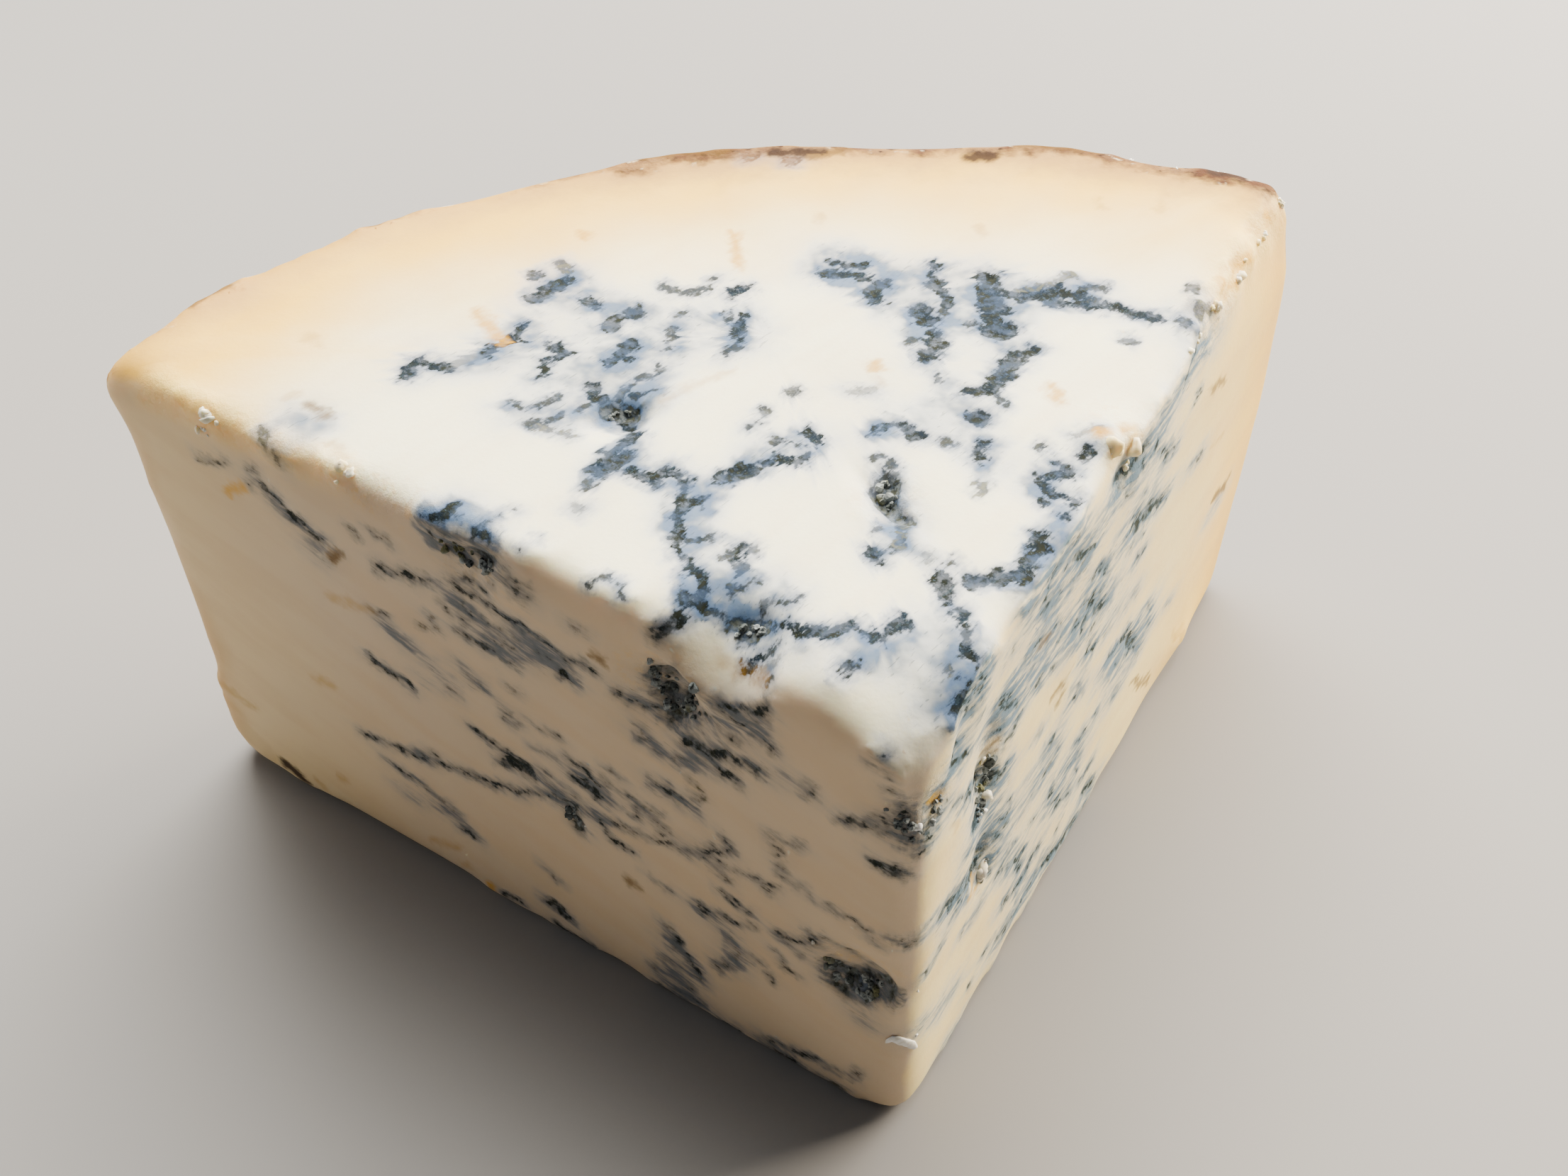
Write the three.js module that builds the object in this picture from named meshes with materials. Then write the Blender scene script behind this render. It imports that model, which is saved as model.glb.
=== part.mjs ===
import * as THREE from 'three';
import { ImprovedNoise } from 'three/addons/math/ImprovedNoise.js';

// A wedge of blue cheese: a quarter of a slab that was cut out of a tall drum of cheese.
// Top, bottom and the two straight sides are cut faces, and only the curved back has rind.
// The wedge is one solid. It stands on its bottom with the tip towards -Y, in millimetres.

// ---- The wedge as a plain shape ----
const WHEEL_RADIUS = 100;
const HEIGHT = 62.5;
const WEDGE_ANGLE = THREE.MathUtils.degToRad(87.4);
const TIP_ROUND = 3;
const RIND_CORNER_ROUND = 1.3;
const TOP_EDGE_ROUND = 2.8;
const BOTTOM_EDGE_ROUND = 1.3;
// Where the axis of the whole drum stands, seen from the middle of the wedge's own box.
const AXIS = new THREE.Vector2(-0.2, -51.4);

// ---- How closely the surface is divided ----
const CUT_STEP_AT_TIP = 1.9;
const CUT_STEP_AT_RIND = 3.6;
const RIND_STEP = 3.6;
const TIP_STEPS = 4;
const CORNER_STEPS = 2;
const EDGE_STEPS = 3;
const WALL_STEPS = 23;
const FULL_TOP_RINGS = 8;
const SPARSE_TOP_RINGS = 5;

// ---- The rind's swell and the edges that broke or slumped ----
const RIND_SWELL = { left: 0.4, right: 2.6 };
const RIND_FOOT_TUCK = { left: 0, right: 2.6, height: 22 };
const RIND_WRINKLE = { size: 9, height: 0.55 };
const RIND_PITTING = { size: 4.2, height: 0.35 };
const RIM_WAVES = [
  { angle: -31, spread: 12, out: 2.4 },
  { angle: 14, spread: 11, out: -1.3 },
  { angle: 38, spread: 5, out: 0.8 },
];
const RIM_CREST = { height: 0.6, width: 4 };
const BROKEN_EDGE = { start: 52, inset: 4.4, drop: 9, reach: 13 };
const SCOOP = { at: 21, halfWidth: 6.6, drop: 6.6, height: 13, reach: 8 };
const LIP = { s: 99, z: 58.5, size: 4.5, out: 1.3 };
const CUT_WAVE = { size: 24, height: 0.35 };
const CURD_GRAIN = { size: 6.5, height: 0.22 };

// ---- Pits, open veins and lumps, each on one face ----
// On a cut side, u is the distance from the drum's axis and v the height. On the top, u and v
// are x and y from the axis. half is the half size along u and v. deep goes in, and a minus
// there makes a lump.
const MARKS = [
  { on: 'left', u: 26.2, v: 53.4, half: [4.0, 4.8], deep: 2.8 },
  { on: 'left', u: 29.5, v: 50.0, half: [3.6, 2.2], deep: 0.8 },
  { on: 'left', u: 19.0, v: 54.0, half: [4.6, 2.2], deep: 1.0 },
  { on: 'left', u: 5.8, v: 23.8, half: [5.0, 4.6], deep: 3.0 },
  { on: 'left', u: 44.0, v: 58.0, half: [3.2, 2.6], deep: -0.9 },
  { on: 'left', u: 50.5, v: 58.6, half: [4.0, 2.4], deep: 0.9 },
  { on: 'left', u: 84.5, v: 59.0, half: [3.4, 2.4], deep: -0.8 },
  { on: 'left', u: 2.0, v: 53.0, half: [3.2, 7.0], deep: 0.9 },
  { on: 'right', u: 14.5, v: 47.5, half: [3.2, 5.6], deep: 1.5 },
  { on: 'right', u: 14.8, v: 40.5, half: [2.8, 4.6], deep: 1.5 },
  { on: 'right', u: 15.8, v: 29.5, half: [3.0, 6.4], deep: 2.0 },
  { on: 'right', u: 3.0, v: 52.0, half: [2.8, 4.6], deep: 1.1 },
  { on: 'right', u: 7.5, v: 56.5, half: [3.4, 4.0], deep: 0.9 },
  { on: 'right', u: 44.0, v: 60.2, half: [5.5, 2.4], deep: 1.4 },
  { on: 'right', u: 60.0, v: 1.5, half: [7.0, 6.0], deep: -0.6 },
  { on: 'right', u: 81.0, v: 1.5, half: [8.0, 7.0], deep: -1.2 },
  { on: 'right', u: 6.0, v: 1.5, half: [5.0, 5.0], deep: -0.5 },
  { on: 'top', u: -17.2, v: 49.4, half: [2.9, 3.4], deep: 3.4 },
  { on: 'top', u: -19.0, v: 53.6, half: [1.9, 2.9], deep: 1.3 },
  { on: 'top', u: 5.4, v: 30.4, half: [2.4, 4.6], deep: 1.3 },
  { on: 'top', u: 29.6, v: 33.2, half: [3.0, 4.4], deep: -1.0 },
  { on: 'top', u: 32.4, v: 31.6, half: [2.6, 4.4], deep: 1.2 },
  { on: 'top', u: -46.5, v: 57.2, half: [3.0, 2.4], deep: 0.6 },
];
const MARK_RAGGED = { size: 2.6, share: 0.45 };

// ---- Directions in plan, from the drum's axis ----
const HALF_ANGLE = WEDGE_ANGLE / 2;
const along = {
  right: new THREE.Vector2(Math.sin(HALF_ANGLE), Math.cos(HALF_ANGLE)),
  left: new THREE.Vector2(-Math.sin(HALF_ANGLE), Math.cos(HALF_ANGLE)),
};
const outOf = {
  right: new THREE.Vector2(Math.cos(HALF_ANGLE), -Math.sin(HALF_ANGLE)),
  left: new THREE.Vector2(-Math.cos(HALF_ANGLE), -Math.sin(HALF_ANGLE)),
};
// The point as far from both cuts as from the rind. Drawing the outline in towards it
// insets all three sides alike.
const INCENTRE_Y = WHEEL_RADIUS / (1 + Math.sin(HALF_ANGLE));
const INSIDE_REACH = WHEEL_RADIUS - INCENTRE_Y;

const perlin = new ImprovedNoise();

function noise(point, size, seed) {
  return perlin.noise(point.x / size + seed, point.y / size - seed, point.z / size + 2 * seed);
}

function smooth(from, to, value) {
  return THREE.MathUtils.smoothstep(value, from, to);
}

// Half of the outline in plan, from the tip along the right cut to the middle of the rind.
// Each entry is a place and the direction that faces out there.
function rightHalfOutline() {
  const entries = [];
  const tipCentreY = TIP_ROUND / Math.sin(HALF_ANGLE);
  const facingDown = -Math.PI / 2;
  const facingRight = -HALF_ANGLE;
  for (let i = 0; i <= TIP_STEPS / 2; i += 1) {
    const turn = THREE.MathUtils.lerp(facingDown, facingRight, i / (TIP_STEPS / 2));
    const facing = new THREE.Vector2(Math.cos(turn), Math.sin(turn));
    const place = new THREE.Vector2(0, tipCentreY).addScaledVector(facing, TIP_ROUND);
    entries.push({ place, facing });
  }
  const start = TIP_ROUND / Math.tan(HALF_ANGLE);
  const end = WHEEL_RADIUS - RIND_CORNER_ROUND;
  const stops = [start];
  while (stops.at(-1) < end) {
    const share = stops.at(-1) / WHEEL_RADIUS;
    stops.push(stops.at(-1) + THREE.MathUtils.lerp(CUT_STEP_AT_TIP, CUT_STEP_AT_RIND, share));
  }
  const squeeze = (end - start) / (stops.at(-1) - start);
  for (const stop of stops.slice(1)) {
    const distance = start + (stop - start) * squeeze;
    entries.push({ place: along.right.clone().multiplyScalar(distance), facing: outOf.right });
  }
  const cornerCentre = along.right.clone().multiplyScalar(end);
  cornerCentre.addScaledVector(outOf.right, -RIND_CORNER_ROUND);
  const cornerAngle = cornerCentre.angle();
  for (let i = 1; i <= CORNER_STEPS; i += 1) {
    const turn = THREE.MathUtils.lerp(facingRight, cornerAngle, i / CORNER_STEPS);
    const facing = new THREE.Vector2(Math.cos(turn), Math.sin(turn));
    entries.push({ place: cornerCentre.clone().addScaledVector(facing, RIND_CORNER_ROUND), facing });
  }
  const arc = Math.PI / 2 - cornerAngle;
  const arcSteps = Math.round((arc * WHEEL_RADIUS) / RIND_STEP);
  for (let i = 1; i <= arcSteps; i += 1) {
    const turn = cornerAngle + (arc * i) / arcSteps;
    const facing = new THREE.Vector2(Math.cos(turn), Math.sin(turn));
    entries.push({ place: facing.clone().multiplyScalar(WHEEL_RADIUS), facing });
  }
  return entries;
}

// The whole outline, counter-clockwise from above. The left half mirrors the right half,
// without the two entries that lie on the mirror line.
function wholeOutline() {
  const right = rightHalfOutline();
  const left = right.slice(1, -1).reverse().map(({ place, facing }) => ({
    place: new THREE.Vector2(-place.x, place.y),
    facing: new THREE.Vector2(-facing.x, facing.y),
  }));
  return [...right, ...left];
}

// How far a mark pushes a point in. Outside its half size it does nothing.
function markDepth(point, mark) {
  let u = point.x;
  let v = point.y;
  if (mark.on !== 'top') {
    u = along[mark.on].x * point.x + along[mark.on].y * point.y;
    v = point.z;
  }
  const away = ((u - mark.u) / mark.half[0]) ** 2 + ((v - mark.v) / mark.half[1]) ** 2;
  if (away >= 1) return 0;
  const ragged = 1 + MARK_RAGGED.share * noise(point, MARK_RAGGED.size, 3.3);
  return mark.deep * (1 - away) ** 1.4 * ragged;
}

// The small relief that moves a point along the way it faces: wavy cuts, crumbly curd,
// the marks above, and wrinkles on the rind. The bottom stays flat.
function relief(point, facing) {
  const outward = (facing.x * point.x + facing.y * point.y) / WHEEL_RADIUS;
  const rindShare = smooth(0.8, 0.97, outward);
  const offBottom = smooth(0, 3, point.z);
  let out = CUT_WAVE.height * noise(point, CUT_WAVE.size, 1.7);
  out += CURD_GRAIN.height * noise(point, CURD_GRAIN.size, 5.1);
  out += rindShare * RIND_WRINKLE.height * noise(point, RIND_WRINKLE.size, 7.9);
  out += rindShare * RIND_PITTING.height * noise(point, RIND_PITTING.size, 11.3);
  for (const mark of MARKS) {
    const turned = mark.on === 'top' ? facing.z : outOf[mark.on].dot(facing);
    const turnedThere = smooth(0.25, 0.75, turned);
    if (turnedThere > 0) out -= turnedThere * markDepth(point, mark);
  }
  return out * offBottom;
}

// The rind bellies out to the right, tucks in at its foot, waves along its rim and stands
// a little above the paste there.
function swellRind(point) {
  const radius = Math.hypot(point.x, point.y);
  const angle = Math.atan2(point.x, point.y);
  const rightShare = smooth(-HALF_ANGLE, HALF_ANGLE, angle);
  const swell = THREE.MathUtils.lerp(RIND_SWELL.left, RIND_SWELL.right, rightShare);
  const tuck = THREE.MathUtils.lerp(RIND_FOOT_TUCK.left, RIND_FOOT_TUCK.right, rightShare);
  let out = swell * Math.sin((Math.PI * point.z) / HEIGHT) ** 2;
  out -= tuck * Math.max(0, 1 - point.z / RIND_FOOT_TUCK.height) ** 1.5;
  for (const wave of RIM_WAVES) {
    const away = (THREE.MathUtils.radToDeg(angle) - wave.angle) / wave.spread;
    out += wave.out * Math.exp(-away * away) * smooth(0.3 * HEIGHT, HEIGHT, point.z);
  }
  const grown = 1 + (out / WHEEL_RADIUS) * smooth(0.55 * WHEEL_RADIUS, WHEEL_RADIUS, radius);
  const onCrest = smooth(WHEEL_RADIUS - RIM_CREST.width, WHEEL_RADIUS, radius);
  point.x *= grown;
  point.y *= grown;
  point.z += RIM_CREST.height * onCrest * smooth(0.8 * HEIGHT, HEIGHT, point.z);
}

// The top edge of the right cut broke away, more and more towards the rind.
function breakRightEdge(point) {
  const s = along.right.dot(point);
  const inside = -outOf.right.dot(point);
  const share = Math.max(0, (s - BROKEN_EDGE.start) / (WHEEL_RADIUS - BROKEN_EDGE.start)) ** 1.2;
  const nearEdge = Math.max(0, 1 - inside / BROKEN_EDGE.reach);
  const nearTop = Math.max(0, 1 - (HEIGHT - point.z) / BROKEN_EDGE.drop);
  const uneven = 1 + 0.25 * noise(point, 11, 2.2);
  const inset = BROKEN_EDGE.inset * share * nearEdge * nearTop * uneven;
  point.x -= outOf.right.x * inset;
  point.y -= outOf.right.y * inset;
}

// A piece crumbled out of the top edge of the left cut, beside an open vein.
function scoopLeftEdge(point) {
  const s = along.left.dot(point);
  const inside = -outOf.left.dot(point);
  const acrossScoop = Math.max(0, 1 - ((s - SCOOP.at) / SCOOP.halfWidth) ** 2);
  const nearEdge = Math.max(0, 1 - inside / SCOOP.reach) ** 1.3;
  const nearTop = Math.max(0, 1 - (HEIGHT - point.z) / SCOOP.height);
  point.z -= SCOOP.drop * acrossScoop * nearEdge * nearTop;
}

// At the left rind corner the soft cheese hangs a little over the cut.
function hangLip(point) {
  const s = along.left.dot(point);
  const away = Math.hypot(s - LIP.s, outOf.left.dot(point), point.z - LIP.z) / LIP.size;
  const out = LIP.out * Math.max(0, 1 - away * away);
  point.x += (along.left.x + outOf.left.x) * out * Math.SQRT1_2;
  point.y += (along.left.y + outOf.left.y) * out * Math.SQRT1_2;
}

// One point of the finished surface, from an outline entry, how far the outline is drawn in,
// its height, and how far the surface there has turned up from the wall.
function surfacePoint(entry, inset, z, upTurn) {
  const scale = 1 - inset / INSIDE_REACH;
  const x = entry.place.x * scale;
  const y = INCENTRE_Y + (entry.place.y - INCENTRE_Y) * scale;
  const point = new THREE.Vector3(x, y, z);
  const facing = new THREE.Vector3(
    entry.facing.x * Math.cos(upTurn),
    entry.facing.y * Math.cos(upTurn),
    Math.sin(upTurn),
  );
  point.addScaledVector(facing, relief(point, facing));
  swellRind(point);
  breakRightEdge(point);
  scoopLeftEdge(point);
  hangLip(point);
  return [point.x + AXIS.x, point.y + AXIS.y, point.z];
}

// The rings of the surface, from the middle of the bottom, up the wall, to the middle of the top.
// A sparse ring takes every second entry of the outline.
function ringList() {
  const rings = [];
  const quarter = Math.PI / 2;
  rings.push({ inset: INSIDE_REACH * 0.55, z: 0, upTurn: -quarter, sparse: true });
  for (let i = 0; i <= EDGE_STEPS; i += 1) {
    const turn = (quarter * i) / EDGE_STEPS - quarter;
    const inset = BOTTOM_EDGE_ROUND * (1 - Math.cos(turn));
    rings.push({ inset, z: BOTTOM_EDGE_ROUND * (1 + Math.sin(turn)), upTurn: turn });
  }
  for (let i = 1; i < WALL_STEPS; i += 1) {
    const z = THREE.MathUtils.lerp(BOTTOM_EDGE_ROUND, HEIGHT - TOP_EDGE_ROUND, i / WALL_STEPS);
    rings.push({ inset: 0, z, upTurn: 0 });
  }
  for (let i = 0; i <= EDGE_STEPS; i += 1) {
    const turn = (quarter * i) / EDGE_STEPS;
    const inset = TOP_EDGE_ROUND * (1 - Math.cos(turn));
    rings.push({ inset, z: HEIGHT - TOP_EDGE_ROUND * (1 - Math.sin(turn)), upTurn: turn });
  }
  const topRings = FULL_TOP_RINGS + SPARSE_TOP_RINGS;
  for (let i = 1; i <= topRings; i += 1) {
    const inset = THREE.MathUtils.lerp(TOP_EDGE_ROUND, INSIDE_REACH, i / (topRings + 1));
    rings.push({ inset, z: HEIGHT, upTurn: quarter, sparse: i > FULL_TOP_RINGS });
  }
  return rings;
}

// Joins two rings of points with triangles that face out. Where one ring is sparse,
// each of its sides meets two sides of the other.
function joinRings(lower, upper, index) {
  const count = Math.max(lower.length, upper.length);
  const lowerStep = count / lower.length;
  const upperStep = count / upper.length;
  for (let i = 0; i < count; i += 1) {
    const a = lower[Math.floor(i / lowerStep)];
    const b = lower[Math.floor((i + 1) / lowerStep) % lower.length];
    const c = upper[Math.floor((i + 1) / upperStep) % upper.length];
    const d = upper[Math.floor(i / upperStep)];
    if (a !== b) index.push(a, b, c);
    if (c !== d) index.push(a, c, d);
  }
}

function closeWithFan(ring, centre, faceUp, index) {
  for (let i = 0; i < ring.length; i += 1) {
    const next = ring[(i + 1) % ring.length];
    if (faceUp) index.push(ring[i], next, centre);
    else index.push(next, ring[i], centre);
  }
}

function wedgeGeometry() {
  const outline = wholeOutline();
  const sparseOutline = outline.filter((_, i) => i % 2 === 0);
  const positions = [];
  const index = [];
  const addPoint = (entry, { inset, z, upTurn }) => {
    positions.push(...surfacePoint(entry, inset, z, upTurn));
    return positions.length / 3 - 1;
  };
  const middle = { place: new THREE.Vector2(0, INCENTRE_Y), facing: new THREE.Vector2(0, 0) };
  const bottomCentre = addPoint(middle, { inset: 0, z: 0, upTurn: -Math.PI / 2 });
  const topCentre = addPoint(middle, { inset: 0, z: HEIGHT, upTurn: Math.PI / 2 });
  const rings = ringList().map((ring) => {
    const entries = ring.sparse ? sparseOutline : outline;
    return entries.map((entry) => addPoint(entry, ring));
  });
  for (let i = 0; i + 1 < rings.length; i += 1) {
    joinRings(rings[i], rings[i + 1], index);
  }
  closeWithFan(rings[0], bottomCentre, false, index);
  closeWithFan(rings.at(-1), topCentre, true, index);
  const geometry = new THREE.BufferGeometry();
  geometry.setAttribute('position', new THREE.Float32BufferAttribute(positions, 3));
  geometry.setIndex(index);
  geometry.computeVertexNormals();
  return geometry;
}

const cheese = new THREE.MeshStandardMaterial({ color: 0xeadcbc, roughness: 0.55, metalness: 0 });
const wedge = new THREE.Mesh(wedgeGeometry(), cheese);
wedge.name = 'cheese_wedge';

const model = new THREE.Group();
model.add(wedge);

export default model;
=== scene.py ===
import math
import random

import bpy
import numpy as np
from mathutils import Matrix, Vector, noise
from mathutils.bvhtree import BVHTree


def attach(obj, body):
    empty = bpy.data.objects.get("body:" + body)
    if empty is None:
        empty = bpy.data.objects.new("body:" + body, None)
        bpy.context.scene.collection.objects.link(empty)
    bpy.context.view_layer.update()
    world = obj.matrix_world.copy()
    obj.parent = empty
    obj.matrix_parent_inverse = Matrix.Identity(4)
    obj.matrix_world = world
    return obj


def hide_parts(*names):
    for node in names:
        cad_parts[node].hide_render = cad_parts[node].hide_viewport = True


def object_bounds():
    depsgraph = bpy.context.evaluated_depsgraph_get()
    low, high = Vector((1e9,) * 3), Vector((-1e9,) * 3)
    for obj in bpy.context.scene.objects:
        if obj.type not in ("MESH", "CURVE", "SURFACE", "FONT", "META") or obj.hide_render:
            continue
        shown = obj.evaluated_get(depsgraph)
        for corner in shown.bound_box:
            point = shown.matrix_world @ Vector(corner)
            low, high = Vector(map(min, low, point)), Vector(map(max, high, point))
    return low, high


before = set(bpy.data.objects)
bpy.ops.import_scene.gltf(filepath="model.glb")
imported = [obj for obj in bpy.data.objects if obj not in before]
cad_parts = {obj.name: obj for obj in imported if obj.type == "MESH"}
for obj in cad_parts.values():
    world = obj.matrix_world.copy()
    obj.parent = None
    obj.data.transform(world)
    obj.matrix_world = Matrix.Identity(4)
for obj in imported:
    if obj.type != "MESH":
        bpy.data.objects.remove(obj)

cad_low, cad_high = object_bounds()
MM = 0.001

# ---- Camera -----------------------------------------------------------------------------
# Held close over the tip and a little to the left, looking down along the wedge at about 44
# degrees. So near, the tip looks large and the far rind small.
CAMERA_AT = Vector((-30.4, -136.16, 166.75)) * MM
CAMERA_YAW = 12.44
CAMERA_PITCH = 43.93
CAMERA_ROLL = -1.2
LENS = 38.64

bpy.ops.object.select_all(action="DESELECT")
bpy.ops.object.camera_add(location=CAMERA_AT)
camera = bpy.context.object
camera.data.lens = LENS
camera.data.sensor_width = 36
camera.data.clip_start = 0.005
turn = Matrix.Rotation(math.radians(-CAMERA_YAW), 4, "Z")
turn = turn @ Matrix.Rotation(math.radians(90 - CAMERA_PITCH), 4, "X")
turn = turn @ Matrix.Rotation(math.radians(CAMERA_ROLL), 4, "Z")
camera.matrix_world = Matrix.Translation(CAMERA_AT) @ turn
bpy.context.scene.camera = camera


# ---- The wedge's surface ----------------------------------------------------------------
# A quarter of a slab from a drum 200 mm across. Its top, bottom and two sides are cut through
# soft, crumbly paste, and the curved back is a dry natural rind.
AXIS = Vector((-0.2, -51.4, 0))
HALF_ANGLE = math.radians(87.4 / 2)
WHEEL_RADIUS = 100
TOP_Z = 62.5
ALONG_RIGHT = Vector((math.sin(HALF_ANGLE), math.cos(HALF_ANGLE), 0))
ALONG_LEFT = Vector((-math.sin(HALF_ANGLE), math.cos(HALF_ANGLE), 0))
OUT_RIGHT = Vector((math.cos(HALF_ANGLE), -math.sin(HALF_ANGLE), 0))
OUT_LEFT = Vector((-math.cos(HALF_ANGLE), -math.sin(HALF_ANGLE), 0))


def edit(*steps):
    """Runs steps in edit mode on what is selected in the active object."""
    bpy.ops.object.mode_set(mode="EDIT")
    for step in steps:
        step()
    bpy.ops.object.mode_set(mode="OBJECT")


def edit_all(*steps):
    """Runs steps in edit mode on the whole of the active object."""
    edit(lambda: bpy.ops.mesh.select_all(action="SELECT"), *steps)


def make_active(piece):
    """Selects one object only, for the tools that work on the active object."""
    bpy.ops.object.select_all(action="DESELECT")
    piece.select_set(True)
    bpy.context.view_layer.objects.active = piece


cheese_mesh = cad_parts["cheese_wedge"].data.copy()
cheese = bpy.data.objects.new("blue_cheese", cheese_mesh)
bpy.context.scene.collection.objects.link(cheese)
make_active(cheese)
if cheese_mesh.has_custom_normals:
    bpy.ops.mesh.customdata_custom_splitnormals_clear()
edit_all(
    lambda: bpy.ops.mesh.remove_doubles(threshold=0.000002),
    lambda: bpy.ops.mesh.tris_convert_to_quads(face_threshold=0.9, shape_threshold=0.9),
)
rounder = cheese.modifiers.new("rounder", "SUBSURF")
rounder.levels = 1
rounder.render_levels = 1
bpy.ops.object.modifier_apply(modifier="rounder")

# ---- Where the veins run ----------------------------------------------------------------
# Needles pierce the drum so that air lets blue mould grow along cracks in the curd. Each vein
# is a run of points on one cut face: on the top, x and y from a point 50 mm up the middle
# line from the drum's axis; on a side cut, the distance from the axis and the height, in mm.
TOP_ZERO = AXIS + Vector((0, 50, TOP_Z))

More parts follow.
